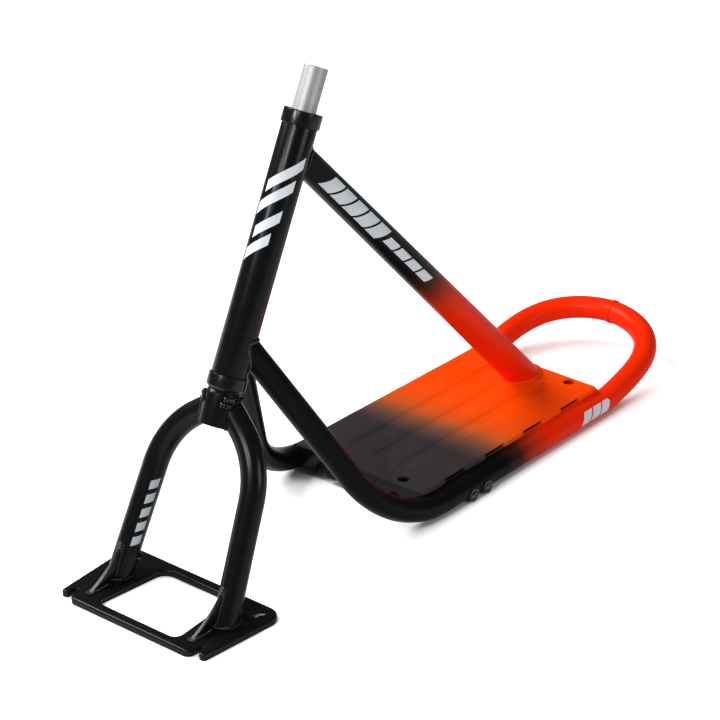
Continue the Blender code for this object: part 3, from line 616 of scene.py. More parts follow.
def buildHead():
    low, high = head["cupBottom"], head["cupBottom"] + head["headsetLength"]
    cup, fine, radius = head["cupHeight"], head["fine"], head["cupRadius"]
    skirt, bore = head["skirtRadius"], head["skirtBore"]

    def cupLoop(mouth):    # from the open mouth at height 0
        end = cup + head["skirtLength"]
        return roundedLoop([
            (head["pocketRadius"], 0, 0), (radius - mouth, 0, fine), (radius, mouth * 1.3, 0.4 * mm),
            (radius, cup - head["edge"], 0.25 * mm), (radius - head["edge"], cup - fine, 0.2 * mm),
            (skirt, cup - fine, 0), (skirt, end, 0), (bore, end, 0), (bore, head["pocketDepth"], 0),
            (head["pocketRadius"], head["pocketDepth"], 0)], 3)

    tube = roundedLoop([
        (head["tubeBore"], low + cup, 0), (head["tubeRadius"], low + cup, fine),
        (head["tubeRadius"], high - cup, fine), (head["tubeBore"], high - cup, 0)], 3)
    lower = [(reach, low + height) for reach, height in cupLoop(head["lowerMouth"])]
    upper = [(reach, high - height) for reach, height in cupLoop(head["edge"])]
    below = high - head["coverHeight"]
    cover = roundedLoop([
        (head["coverBore"], below, 0), (head["coverRadius"], below, 0),
        (head["coverRadius"], high, 0.5 * mm), (head["coverBore"], high, 0.4 * mm)], 4)
    bottom, top, inner, outer = (
        head[name] for name in ("crownBottom", "crownTop", "steererBore", "steererRadius"))
    steerer = roundedLoop([
        (inner, bottom, 0), (outer, bottom, 0), (outer, head["steererTop"], 1.0 * mm),
        (inner, head["steererTop"], 0.5 * mm)])
    crown = roundedLoop([
        (outer, bottom, 0), (head["crownRadius"], bottom, 0.6 * mm),
        (head["crownRadius"], top - head["crownSlope"], 2 * mm),
        (head["crownRadius"] - head["crownNeck"], top, 0.6 * mm), (outer, top, 0)], 4)
    for name, outline, *ties in (
            ("head_tube_coat", tube, blackCoat, "frame", "black_paint", "head_tube"),
            ("lower_cup_turned", lower, anodised, "frame", "black_anodised", "lower_cup"),
            ("upper_cup_turned", upper, anodised, "frame", "black_anodised", "upper_cup"),
            ("bearing_cover_turned", cover, anodised, "fork", "black_anodised", "bearing_cover"),
            ("steerer_brushed", steerer, bareTube, "fork", "bare_aluminium", "steerer_tube"),
            ("crown_coat", crown, blackCoat, "fork", "black_paint", "crown_tube")):
        finished(turned(name, outline, axisFoot, axisUp, axisAcross), *ties)


headPrint = {
    "low": 415.0, "bars": 4, "width": 14.0, "gap": 13.0, "slant": 40.0,
    "left": -30.0, "right": 92.0, "leftStep": 14, "rightStep": 16,
}


def onHeadTube(station, angle, lift):    # mm along the axis, degrees from forward towards +Y
    way = spoke(axisAcross, yWay, math.radians(angle))
    return onAxis(station * mm) + way * (head["tubeRadius"] + lift)


def buildHeadPrint():    # slanted stripes round the front of the head tube
    bars = []
    left, right, width = headPrint["left"], headPrint["right"], headPrint["width"]
    for index in range(headPrint["bars"]):
        low = headPrint["low"] + index * (width + headPrint["gap"])
        start = left + headPrint["leftStep"] * (index % 2)
        end = right - headPrint["rightStep"] * (headPrint["bars"] - 1 - index)
        drop = headPrint["slant"] * (end - start) / (right - left)
        bars.append(slanted(low, low + width, start, end, drop))
    printedBars("head_tube_stripes", bars, onHeadTube, printWhite, "frame", "black_paint")


buildHead()
buildHeadPrint()
print("steering head made")


# Fork

leg = metres({
    "radius": 15.25, "footOffset": -11.7, "topOffset": -5.8, "footStation": 8, "footY": 84.3,
    "kneeY": 71.2, "kneeStation": 199.7, "bend": 101.7, "joinY": 7.9, "joinStation": 248.4,
    "reachIn": 5, "spaceBelow": 40, "spaceAbove": 20, "floorDepth": 30, "floorRadius": 60,
    "floorSunk": 0.2, "weldLow": 1, "rippleProud": 1.4, "rippleLift": 1.8, "knotProud": 0.8,
    "gussetTop": 36, "gussetTopStep": 6},
    ripples=range(-10, 51, 15), knots=((257, 46), (250, 40)), knotStep=9, knotReach=0.94,
    beadScale=1.25)


def legPath(side):
    lean = (leg["topOffset"] - leg["footOffset"]) / leg["joinStation"]
    kneeOffset = leg["footOffset"] + lean * leg["kneeStation"]
    foot = onAxis(leg["footStation"], leg["footOffset"], side * leg["footY"])
    knee = onAxis(leg["kneeStation"], kneeOffset, side * leg["kneeY"])
    return foot, knee, onAxis(leg["joinStation"], leg["topOffset"], side * leg["joinY"])


def legAt(side, z):    # the middle of a leg's straight part at a height
    foot, knee = legPath(side)[:2]
    return foot + (knee - foot) * ((z - foot.z) / (knee - foot).z)


def buildLegs():
    for word, side in sides:
        foot, knee, join = legPath(side)
        points = bend(foot, knee, join, leg["bend"], 40)
        down = (foot - points[1]).normalized()
        points[0] = foot + down * ((plateTop - foot.z) / down.z) + down * leg["reachIn"]
        tube = sweptTube(word + "_leg_coat", points, [leg["radius"]] * len(points), blackCoat)
        crownSpace = spaceOnAxis(head["crownBottom"] - leg["spaceBelow"],
                                 head["crownTop"] + leg["spaceAbove"], head["crownRadius"])
        floorSpace = rod(foot - zWay * leg["floorDepth"],
                         Vector((foot.x, foot.y, plateTop - leg["floorSunk"])), leg["floorRadius"])
        finished(cut(tube, [crownSpace, floorSpace]), blackCoat, "fork", "black_paint",
                 word + "_fork_leg")
        footSeam = seamOnPlane(points[0], down, leg["radius"], zWay * plateTop, zWay)
        crownSeam = seamOnBar(join, (points[-2] - join).normalized(), leg["radius"],
                              head["crownRadius"])
        bottom = head["crownBottom"] + leg["weldLow"]
        upper = runs(crownSeam, lambda point: (point - axisFoot).dot(axisUp) > bottom)
        weld(word + "_leg_weld", [(footSeam, True)] + upper, blackCoat, "fork", "black_paint")
        buildLegBeads(word, side, points[0])


def buildLegBeads(word, side, low):
    ripples, knot = [], []
    for angle in leg["ripples"]:    # heavier ripples in front of the foot
        way = spoke(axisAcross, yWay, math.radians(angle))
        start = low + way * (leg["radius"] + leg["rippleProud"])
        rise = (plateTop + leg["rippleLift"] - start.z) / axisUp.z
        ripples.append(start + axisUp * rise)
    for lift in (0, leg["gussetTopStep"]):    # where the gusset ends on the leg
        z = plateTop + (leg["gussetTop"] + lift)
        front = legAt(side, z).x + leg["radius"] / axisUp.z * leg["knotReach"]
        knot.append(Vector((front, side * gusset["y"], z)))
    seams = [(ripples, False), (knot, False)]
    for station, first in leg["knots"]:    # a lump of beads where the leg meets the crown
        turns = [math.radians(first + leg["knotStep"] * step) for step in range(4)]
        seams.append(([onAxis(station * mm) + spoke(axisAcross, yWay * side, turn)
                       * (head["crownRadius"] + leg["knotProud"]) for turn in turns], False))
    weld(word + "_leg_ripples", seams, beadCoat, "fork", "black_paint", leg["beadScale"])


legPrint = {
    "from": 0.24, "to": 0.70, "bars": 5, "gap": 0.034, "slant": 0.030, "left": 44.0,
    "right": 84.0,
}


def onRightLeg(share, angle, lift):    # share of the straight part, degrees from forward
    foot, knee = legPath(-1)[:2]
    along = (knee - foot).normalized()
    forward = (axisAcross - along * axisAcross.dot(along)).normalized()
    beside = along.cross(forward)
    way = spoke(forward, beside if beside.y > 0 else -beside, math.radians(angle))
    return foot + (knee - foot) * share + way * (leg["radius"] + lift)


def buildLegPrint():    # a column of slanted dashes
    bars = []
    pitch = (legPrint["to"] - legPrint["from"]) / legPrint["bars"]
    for index in range(legPrint["bars"]):
        low = legPrint["from"] + pitch * index
        bars.append(slanted(low, low + pitch - legPrint["gap"], legPrint["left"], legPrint["right"],
                            legPrint["slant"]))
    printedBars("right_leg_dashes", bars, onRightLeg, printSilver, "fork", "black_paint")


plate = metres({
    "front": 57.5, "rear": 75, "halfFront": 112, "halfRear": 122, "rearRadius": 19,
    "cornerRadius": 9, "bar": 14, "bevel": 2.6, "smallBevel": 0.7, "footEdge": 0.25,
    "boltLine": 98.5, "slotWidth": 7.5, "slotDepth": 20.5, "fingerSetback": 6,
    "windowFront": 63, "windowRear": 53, "windowRadiusFront": 10, "windowRadiusRear": 16,
    "rearSlotWidth": 8.5, "rearSlotLength": 24, "rearSlotEdge": 6.4, "keyhole": 16.4,
    "slotReach": 6, "slotSpare": 0.2, "keyholeReach": 34, "keyholeLeft": 88, "keyholeRight": 108},
    slotRound=0.98, tipRound=0.45)


def plateLoops():    # the outer edge first, then the holes
    half = plate["slotWidth"] / 2
    finger = plate["front"] - plate["fingerSetback"]
    slotEnd = plate["front"] - plate["slotDepth"]
    slope = (plate["halfRear"] - plate["halfFront"]) / (plate["front"] + plate["rear"])
    outerY = plate["halfFront"] + slope * plate["fingerSetback"]
    line = plate["boltLine"]
    tip = (outerY - line - half) * plate["tipRound"]
    end = half * plate["slotRound"]
    outer = [
        (plate["front"], line - half, plate["cornerRadius"]), (slotEnd, line - half, end),
        (slotEnd, line + half, end), (finger, line + half, tip), (finger, outerY, tip),
        (-plate["rear"], plate["halfRear"], plate["rearRadius"])]
    window = [
        (plate["front"] - plate["bar"], plate["windowFront"], plate["windowRadiusFront"]),
        (plate["bar"] - plate["rear"], plate["windowRear"], plate["windowRadiusRear"])]
    loops = [roundedLoop(half + [(x, -y, radius) for x, y, radius in half[::-1]])
             for half in (outer, window)]
    back = -plate["rear"] + plate["rearSlotEdge"]
    hole, slot = plate["keyhole"] / 2, plate["rearSlotWidth"] / 2
    opening = math.degrees(math.asin(slot / hole))
    for side in (1, -1):
        y = side * line
        loops.append(arcPoints(back + hole, y, hole, opening, 360 - opening, 28)
                     + arcPoints(back + plate["rearSlotLength"] - slot, y, slot, -90, 90, 16))
    return loops


def inset(loop, distances):    # moves a loop towards its left side
    moved = []
    for index, distance in enumerate(distances):
        here = Vector(loop[index])
        before = (here - Vector(loop[index - 1])).normalized()
        after = (Vector(loop[(index + 1) % len(loop)]) - here).normalized()
        normal = Vector((-(before + after).y, (before + after).x)).normalized()
        scale = max(normal.dot(Vector((-before.y, before.x))), 0.5)
        moved.append(tuple(here + normal * distance / scale))
    return moved


def bevelAt(x, y):    # wide along the outer edge and the window, narrow in slots and keyholes
    inSlot = x > plate["front"] - plate["slotDepth"] - plate["slotReach"] and \
        abs(abs(y) - plate["boltLine"]) < plate["slotWidth"] / 2 + plate["slotSpare"]
    inKeyhole = plate["rearSlotEdge"] - 0.1 * mm < x + plate["rear"] < plate["keyholeReach"] and \
        plate["keyholeLeft"] < abs(y) < plate["keyholeRight"]
    return plate["smallBevel"] if inSlot or inKeyhole else plate["bevel"]


def buildPlate():
    shape = bmesh.new()
    tops, bottoms = [], []
    foot = plate["footEdge"]
    for number, loop in enumerate(plateLoops()):
        area = sum(a[0] * b[1] - b[0] * a[1] for a, b in zip(loop, loop[1:] + loop[:1]))
        if (area > 0) != (number == 0):    # solid on the left of every loop
            loop = loop[::-1]
        widths = [bevelAt(x, y) for x, y in loop]
        layers = [([foot] * len(loop), [0.0] * len(loop)), ([0.0] * len(loop), [foot] * len(loop))]
        for turn in (math.pi / 2 * step / 4 for step in range(5)):
            layers.append(([width * (1 - math.cos(turn)) for width in widths],
                           [plateTop - width * (1 - math.sin(turn)) for width in widths]))
        rings = [[shape.verts.new((axisFoot.x + x, y, z))
                  for (x, y), z in zip(inset(loop, distances), heights)]
                 for distances, heights in layers]
        for ring, following in zip(rings, rings[1:]):
            bridge(shape, ring, following)
        bottoms.append(rings[0])
        tops.append(rings[-1])
    for caps in (tops, bottoms):
        edges = [shape.edges.get((ring[index - 1], ring[index]))
                 for ring in caps for index in range(len(ring))]
        bmesh.ops.triangle_fill(shape, use_beauty=True, use_dissolve=False, edges=edges)
    finished(objectFrom("base_plate_coat", shape), blackCoat, "fork", "black_paint", "base_plate")


gusset = metres({
    "y": 80, "thickness": 5, "tip": 38.5, "topX": -18.5, "topZ": 48.5, "sag": 4, "edge": 1.1,
    "sink": 0.3, "backTop": 14, "backFoot": -20, "weldEnd": 8, "weldOut": 0.4, "weldTip": 0.5},
    weldReach=0.98, weldScale=0.72)


def gussetOutline(steps=20):    # from the tip up the hollow front edge to the leg, and back
    tip = Vector((gusset["tip"], plateTop))
    top = Vector((gusset["topX"], gusset["topZ"]))
    chord = (tip - top).normalized()
    pull = (tip + top) / 2 + Vector((chord.y, -chord.x)) * 2 * gusset["sag"]
    shares = [step / steps for step in range(steps + 1)]
    front = [tip * (1 - t) ** 2 + pull * 2 * t * (1 - t) + top * t ** 2 for t in shares]
    return [tuple(point) for point in front] + [
        (gusset["topX"] - gusset["backTop"], gusset["topZ"]),
        (gusset["backFoot"], plateTop - gusset["sink"]), (gusset["tip"], plateTop - gusset["sink"])]


def buildGussets():
    half, tip = gusset["thickness"] / 2, gusset["tip"] + gusset["weldTip"]
    for word, side in sides:
        fin = loft(word + "_gusset_coat", [
            [level(x, side * gusset["y"] + y, z) for x, z in gussetOutline()] for y in (-half, half)])
        rounding = fin.modifiers.new("edges", "BEVEL")
        rounding.width = gusset["edge"]
        rounding.segments = 3
        rounding.limit_method = "ANGLE"
        fin = plainMesh(fin)
        smoothAgain(fin)
        finished(fin, blackCoat, "fork", "black_paint", word + "_gusset")
        seams = []
        for face in (-1, 1):
            y = side * gusset["y"] + face * (half + gusset["weldOut"])
            seams.append(([level(x, y, plateTop + gusset["sink"])
                           for x in (tip, gusset["weldEnd"])], False))
            rise = []
            for z in (plateTop, gusset["topZ"]):    # up the front of the leg
                centre = legAt(side, z)
                out = math.sqrt(max(leg["radius"] ** 2 - (y - centre.y) ** 2, 0))
                rise.append(Vector((centre.x + out / axisUp.z * gusset["weldReach"], y, z)))
            seams.append((rise, False))
        end = level(tip, side * gusset["y"], plateTop + gusset["weldOut"])
        seams.append(([end - yWay * half, end + yWay * half], False))
        weld(word + "_gusset_weld", seams, beadCoat, "fork", "black_paint", gusset["weldScale"])


buildLegs()
buildLegPrint()
buildPlate()
buildGussets()
print("fork made")


# Side tubes and hoop

rail = metres({
    "radius": 15.25, "joinStation": 324, "joinY": 6, "kneeX": -291.5, "bend": 154,
    "halfFront": 105.5, "halfRear": 101.2, "hoopX": -733, "hoopLength": 156.8, "rise": 38.3,
    "kick": 22, "spaceBelow": 30, "spaceAbove": 90, "joinerBore": 11, "joinerRadius": 16.3,
    "joinerHalf": 3.5, "joinerEdge": 1.3}, shoulder=3.75, crest=1.83,
    hoopSteps=60, hoopSpread=1.6, weldScale=0.85)


def railHalf(x):
    share = (x - rail["kneeX"]) / (rail["hoopX"] - rail["kneeX"])
    return rail["halfFront"] + (rail["halfRear"] - rail["halfFront"]) * share


def railHeight(x):    # flat, then curving into the hoop's rise
    slope = rail["rise"] / rail["hoopLength"]
    past = rail["hoopX"] - x
    if past < -rail["kick"]:
        return rail["radius"]
    if past < rail["kick"]:
        return rail["radius"] + slope * (past + rail["kick"]) ** 2 / (4 * rail["kick"])
    return rail["radius"] + slope * past


def onRail(x, side=1):    # the tube's middle line
    return level(x, side * railHalf(x), rail["radius"])


def sidePath(side):
    start = onAxis(rail["joinStation"], 0, rail["joinY"])
    knee = level(rail["kneeX"], rail["halfFront"], rail["radius"])
    flatEnd = rail["hoopX"] + rail["kick"]
    back = rail["hoopX"] - rail["hoopLength"]
    points = bend(start, knee, onRail(flatEnd), rail["bend"], 36)
    for step in range(1, 5):
        x = flatEnd - rail["kick"] * step / 5
        points.append(level(x, railHalf(x), railHeight(x)))
    for step in range(rail["hoopSteps"]):
        turn = math.pi / 2 * (step / rail["hoopSteps"]) ** rail["hoopSpread"]
        x = rail["hoopX"] - rail["hoopLength"] * math.sin(turn) ** (2 / rail["shoulder"])
        y = rail["halfRear"] * math.cos(turn) ** (2 / rail["crest"])
        if step == 0 or y > 1 * mm:
            points.append(level(x, y, railHeight(x)))
    points.append(level(back, 0.2 * mm, railHeight(back)))
    return [Vector((point.x, side * point.y, point.z)) for point in points]


boss = metres({
    "radius": 8.7, "bore": 4, "z": 9.6, "firstX": -430.5, "spacing": 28, "stand": 1.4,
    "edge": 1.3, "thread": 5.3, "length": 13, "threadLength": 10.4, "boreIn": 12, "boreOut": 5,
    "threadRoot": 0.5, "threadCrest": 0.05, "weldLow": 2.5}, turns=8, weldScale=0.5)
bossPlaces = {"front": boss["firstX"], "rear": boss["firstX"] - boss["spacing"]}


def bossFace():
    return railHalf(boss["firstX"]) + rail["radius"] + boss["stand"]


def buildSideTubes():
    for word, side in sides:
        points = sidePath(side)
        tube = sweptTube(word + "_side_tube_coat", points, [rail["radius"]] * len(points), railCoat)
        spaces = [spaceOnAxis(head["cupBottom"] - rail["spaceBelow"],
                              rail["joinStation"] + rail["spaceAbove"], head["tubeRadius"])]
        for x in bossPlaces.values():
            ends = (level(x, side * (bossFace() + reach), boss["z"])
                    for reach in (-boss["boreIn"], boss["boreOut"]))
            spaces.append(rod(*ends, boss["bore"]))
        finished(cut(tube, spaces), railCoat, "frame", "fade_paint", word + "_side_tube")
        along = (points[1] - points[0]).normalized()
        seams = runs(seamOnBar(points[0], along, rail["radius"], head["tubeRadius"]),
                     lambda point: point.y * side > 0)
        if side > 0:    # where the two tubes meet each other
            ellipse = seamOnPlane(points[0], along, rail["radius"], Vector((0, 0, 0)), yWay)
            seams += runs(ellipse, lambda point: (point - points[0]).dot(along) > 0 and
                          (point - axisFoot).cross(axisUp).length > head["tubeRadius"])
        weld(word + "_head_weld", seams, beadCoat, "frame", "black_paint", rail["weldScale"])


def threadOutline(y):    # the bare thread inside a boss, from its mouth inward
    bore = boss["bore"]
    outline = [(boss["thread"] - 0.2 * mm, y - 0.3 * mm), (bore + 0.3 * mm, y - 1.4 * mm)]
    for step in range(boss["turns"]):    # a root and a crest for each millimetre
        outline += [(bore + boss["threadRoot"], y - (1.8 + step) * mm),
                    (bore + boss["threadCrest"], y - (2.3 + step) * mm)]
    return outline + [(bore + 0.8 * mm, y - boss["threadLength"]), (bore + 0.8 * mm, y - 1.4 * mm)]


def buildBosses():
    y, bore, radius = bossFace(), boss["bore"], boss["radius"]
    root = y - boss["length"]
    profile = roundedLoop([
        (bore, root, 0), (radius, root, 0), (radius, y, boss["edge"]), (boss["thread"], y, 0.3 * mm),
        (bore + 0.4 * mm, y - 1.2 * mm, 0), (bore + 0.4 * mm, root + 1 * mm, 0)], 4)
    for word, side in sides:
        for label, x in bossPlaces.items():
            name = "%s_%s_boss" % (word, label)
            foot, way = level(x, 0, boss["z"]), yWay * side
            item = turned(name + "_coat", profile, foot, way, xWay, 48)
            finished(item, beadCoat, "frame", "black_paint", name)
            liner = turned(name + "_thread", threadOutline(y), foot, way, xWay, 40)
            finished(liner, bareTube, "frame", "bare_aluminium")
            seam = []
            for turn in wholeTurn(48):
                z = boss["z"] + radius * math.sin(turn)
                reach = math.sqrt(max(rail["radius"] ** 2 - (z - rail["radius"]) ** 2, 0))
                seam.append(level(x + radius * math.cos(turn), side * (railHalf(x) + reach), z))
            weld(name + "_weld", runs(seam, lambda point: point.z > boss["weldLow"]),
                 blackCoat, "frame", "black_paint", boss["weldScale"])


def buildJoiner():    # the raised ring at the back of the hoop
    back = rail["hoopX"] - rail["hoopLength"]
    bore, radius, half = rail["joinerBore"], rail["joinerRadius"], rail["joinerHalf"]
    outline = roundedLoop([
        (bore, -half, 0), (radius, -half, rail["joinerEdge"]), (radius, half, rail["joinerEdge"]),
        (bore, half, 0)], 5)
    ring = turned("hoop_joiner_coat", outline, level(back, 0, railHeight(back)), yWay, xWay)
    finished(ring, railCoat, "frame", "fade_paint", "hoop_joiner")


badge = {"front": -664.0, "rear": -724.0, "low": -18.0, "high": 44.0, "slant": 5.0, "gap": 3.0}


def onLeftRail(x, angle, lift):    # degrees from level towards the crown
    reach = rail["radius"] + lift
    return onRail(x * mm) + spoke(yWay, zWay, math.radians(angle)) * reach


def buildBadge():    # a bare white patch of three slanted fields
    bars = []
    third = (badge["rear"] - badge["front"]) / 3
    for index in range(3):
        front = badge["front"] + third * index + badge["slant"]
        bars.append(slanted(front, front + third + badge["gap"], badge["low"], badge["high"],
                            -2 * badge["slant"]))
    printedBars("left_rail_patch", bars, onLeftRail, printWhite, "frame", "fade_paint")


buildSideTubes()
buildBosses()
buildJoiner()
buildBadge()
print("side tubes made")


# Top tube

def buildTopTube():
    start, end = topTube["head"], topTube["foot"]
    way = (end - start).normalized()
    below = end + way * topTube["reachIn"]
    points = [start + (below - start) * step / 24 for step in range(25)]
    slope = (topTube["footRadius"] - topTube["headRadius"]) / (end - start).length
    radii = [topTube["headRadius"] + slope * (point - start).length for point in points]
    tube = sweptTube("top_tube_coat", points, radii, topCoat)
    headSpace = spaceOnAxis(topTube["spaceLow"], topTube["spaceHigh"], head["tubeRadius"])
    deckSpace = rod(*(Vector((end.x, 0, z)) for z in (topTube["deckSpaceLow"],
                    end.z - topTube["sunk"])), topTube["deckSpaceRadius"])
    finished(cut(tube, [headSpace, deckSpace]), topCoat, "frame", "fade_paint", "top_tube")
    headSeam = seamOnBar(start, way, topTube["headRadius"] + topTube["weldOut"], head["tubeRadius"])
    footSeam = seamOnPlane(end, way, topTube["footRadius"], end, zWay)
    weld("top_tube_head_weld", [(headSeam, True)], blackCoat, "frame", "black_paint")
    weld("top_tube_foot_weld", [(footSeam, True)], deckCoat, "frame", "fade_paint")


topPrint = {
    "from": 0.085, "to": 0.50, "bars": 9, "gap": 0.007, "slant": 0.030, "thinFrom": 0.31,
    "wide": (-46, 24), "thin": (-30, 4),
}


def onTopTube(share, angle, lift):    # degrees from +Y towards the upper side
    start, end = topTube["head"], topTube["foot"]
    way = (end - start).normalized()
    upper = Vector((-way.z, 0, way.x))
    radius = topTube["headRadius"] + (topTube["footRadius"] - topTube["headRadius"]) * share + lift
    out = spoke(yWay, upper if upper.z > 0 else -upper, math.radians(angle))
    return start + (end - start) * share + out * radius


def buildTopPrint():    # slanted blocks, then thinner ones
    bars = []
    pitch = (topPrint["to"] - topPrint["from"]) / topPrint["bars"]
    whole = topPrint["wide"][1] - topPrint["wide"][0]
    for index in range(topPrint["bars"]):
        front = topPrint["from"] + pitch * index
        front += topPrint["gap"] * 2 if front > topPrint["thinFrom"] else 0
        low, high = topPrint["wide" if front < topPrint["thinFrom"] else "thin"]
        bars.append(slanted(front, front + pitch - topPrint["gap"], low, high,
                            topPrint["slant"] * (high - low) / whole))
    printedBars("top_tube_blocks", bars, onTopTube, printWhite, "frame", "fade_paint")


buildTopTube()
buildTopPrint()
print("top tube made")


# Deck

deck = metres({
    "top": 38.75, "thickness": 2.4, "overhang": -5.2, "fold": 1.8, "bottom": 28.3,
    "slotPitch": 80, "slotLength": 37, "slotStart": 48.5, "windowLow": 33.6, "windowHigh": 37.9,
    "beadRadius": 3.3, "beadZ": 35.2, "hole": 7.5, "holeY": 61, "holeFront": 13.5,
    "holeRear": 11.5, "grooveSpacing": 40, "grooveHalf": 12.5, "grooveFloor": 5,
    "grooveDepth": 1.9, "grooveFront": 32, "grooveRear": 23, "grooveFoot": 4, "footHalf": 29,
    "rowGap": 0.3, "holeReach": 10, "beadSetback": 0.5, "shadeFinIn": 7, "shadeFinOut": 8, "shadeFinLow": 26,
    "shadeFinHigh": 36.2, "shadeFinSetback": 4}, slotCount=4, sharp=35, footSharp=60, beadTaper=10,
    beadTip=0.12)
grooveLines = (-deck["grooveSpacing"], 0, deck["grooveSpacing"])


def grooveEnds(line):    # where the round ends are centred
    front = deckFront - deck["grooveFront"] - deck["grooveHalf"]
    rear = deckRear + deck["grooveRear"] + deck["grooveHalf"]
    if line == 0:
        rear = topTube["foot"].x + deck["footHalf"] + deck["grooveFoot"] + deck["grooveHalf"]
    return front, rear


def grooveDepthAt(x, y):
    depth = 0.0
    for line in grooveLines:
        front, rear = grooveEnds(line)
        away = math.hypot(max(x - front, rear - x, 0), y - line)
        share = (deck["grooveHalf"] - away) / (deck["grooveHalf"] - deck["grooveFloor"])
        share = min(max(share, 0), 1)
        depth = max(depth, deck["grooveDepth"] * share ** 2 * (3 - 2 * share))
    return depth


def deckRows():    # closer rows where the grooves end
    rows = [deckFront + (deckRear - deckFront) * step / 44 for step in range(45)]
    for end in (*grooveEnds(deck["grooveSpacing"]), grooveEnds(0)[1]):
        rows += [end + deck["grooveHalf"] * step / 12 for step in range(-13, 14)]
    rows = sorted(row for row in rows if deckRear <= row <= deckFront)
    spaced = [rows[0]]
    for row in rows[1:]:
        if row - spaced[-1] > deck["rowGap"]:
            spaced.append(row)
    spaced[-1] = deckFront
    return spaced


def deckSection(x):    # outer and inner points from the left flange's foot to the right one
    half = railHalf(x - axisFoot.x) + deck["overhang"]
    flat, inside = half - deck["fold"], half - deck["thickness"]
    crest, under = deck["top"] - deck["fold"], deck["top"] - deck["thickness"]
    outer = [(half, deck["bottom"]), (half, (deck["bottom"] + deck["top"] - deck["fold"]) / 2)]
    inner = [(inside, min(z, under)) for y, z in outer]
    fold = arcPoints(flat, crest, deck["fold"], 0, 80, 8)
    outer += fold
    inner += [(inside, under)] * len(fold)
    places = [line + deck["grooveHalf"] * step / 10
              for line in grooveLines for step in range(-10, 11)]
    for place in (flat, 88 * mm, 70 * mm, 58 * mm):
        places += [place, -place]
    for y in sorted(places, reverse=True):
        depth = grooveDepthAt(x, y)
        outer.append((y, deck["top"] - depth))
        inner.append((max(min(y, inside), -inside), under - depth))
    return [points + [(-y, z) for y, z in points[:10][::-1]] for points in (outer, inner)]


def windowSpans():    # front and rear of each side window
    starts = [deckFront - deck["slotStart"] - index * deck["slotPitch"]
              for index in range(deck["slotCount"])]
    return [(front, front - deck["slotLength"]) for front in starts]


def buildDeck():
    shape = bmesh.new()
    sections = [(x, deckSection(x)) for x in deckRows()]
    outer, inner = ([[shape.verts.new((x, y, z)) for y, z in section[layer]]
                     for x, section in sections] for layer in (0, 1))
    for rows in (outer, inner):
        for row, following in zip(rows, rows[1:]):
            bridge(shape, row, following, False)
    for end in (0, -1):
        bridge(shape, [row[end] for row in outer], [row[end] for row in inner], False)
        bridge(shape, outer[end], inner[end], False)
    sheet = objectFrom("deck_coat", shape, deck["sharp"])
    cutters = []
    for x in (deckFront - deck["holeFront"], deckRear + deck["holeRear"]):
        for side in (1, -1):
            centre = Vector((x, side * deck["holeY"], deck["top"]))
            ends = (centre + zWay * reach for reach in (-deck["holeReach"], deck["holeReach"]))
            cutters.append(rod(*ends, deck["hole"], 48))
    low, high = deck["windowLow"], deck["windowHigh"]
    under = deck["top"] - deck["thickness"] - 0.3 * mm
    for side in (1, -1):
        for front, rear in windowSpans():
            wall = railHalf((front + rear) / 2 - axisFoot.x) + deck["overhang"]
            outline = (    # mm out from the wall, height
                (-6, low), (6, low), (6, high), (-0.9, high), (-2.2, under), (-6, under))
            cutters.append(loft("window", [
                [(x, side * (wall + y * mm), z) for y, z in outline] for x in (front, rear)]))
    finished(cut(sheet, cutters), deckCoat, "frame", "fade_paint", "deck")


def edgeBar(x, side, offset, z):    # a point beside the deck's folded edge
    return Vector((x, side * (railHalf(x - axisFoot.x) + offset), z))


def buildDeckSeams():    # stitch beads between the windows, a smooth foot along the tube, and a black fin under the deck's edge that is painted shade behind the windows
    marks = [deckFront, *(mark for span in windowSpans() for mark in span), deckRear]
    edge, low = deck["overhang"], deck["windowLow"]
    footLoop = (
        (edge - 1 * mm, low - 0.6 * mm), (edge + 0.1 * mm, low - 0.4 * mm),
        (edge + 1.6 * mm, low - 1.7 * mm), (-0.6 * mm, 30.9 * mm), (2.4 * mm, 30.25 * mm),
        (-1 * mm, 28 * mm), (edge - 1 * mm, 27.6 * mm))
    # painted shade: a thin black fin inside the deck's edge, seen through the windows, black along
    # the whole deck
    shadeFinLoop = [(edge - deck[away], deck[z]) for away, z in (
        ("shadeFinIn", "shadeFinLow"), ("shadeFinOut", "shadeFinLow"), ("shadeFinOut", "shadeFinHigh"), ("shadeFinIn", "shadeFinHigh"))]
    footRows = (deckFront, (deckFront + deckRear) / 2, deckRear)
    shadeFinRows = (deckFront - deck["shadeFinSetback"], deckRear + deck["shadeFinSetback"])
    radii = [deck["beadRadius"] * math.sqrt(max(
        1 - abs(2 * step / 24 - 1) ** deck["beadTaper"], deck["beadTip"])) for step in range(25)]
    for word, side in sides:
        for number, (start, end) in enumerate(zip(marks[::2], marks[1::2]), 1):
            line = [edgeBar(start + (end - start) * step / 24, side, edge - deck["beadSetback"],
                            deck["beadZ"]) for step in range(25)]
            bead = sweptTube("%s_deck_stitch_%d" % (word, number), line, radii, deckCoat)
            finished(bead, deckCoat, "frame", "fade_paint")
        foot, shadeFin = ([[edgeBar(x, side, y, z) for y, z in loop] for x in rows]
                     for loop, rows in ((footLoop, footRows), (shadeFinLoop, shadeFinRows)))
        finished(loft(word + "_deck_foot", foot, deck["footSharp"]), railCoat, "frame",
                 "fade_paint")
        # the fin takes the black coat everywhere, so it reads as shade behind the windows
        finished(loft(word + "_deck_rib", shadeFin), blackCoat, "frame", "black_paint")


cross = metres({
    "thickness": 4, "bottom": 8.5, "notchY": 58.5, "notchHalf": 9, "notchTop": 26,
    "setback": 0.4, "gap": 1.5, "weldIn": 1, "spaceReach": 20, "sunk": 0.3},
    weldTurns=range(100, 200, 12), weldScale=0.8)


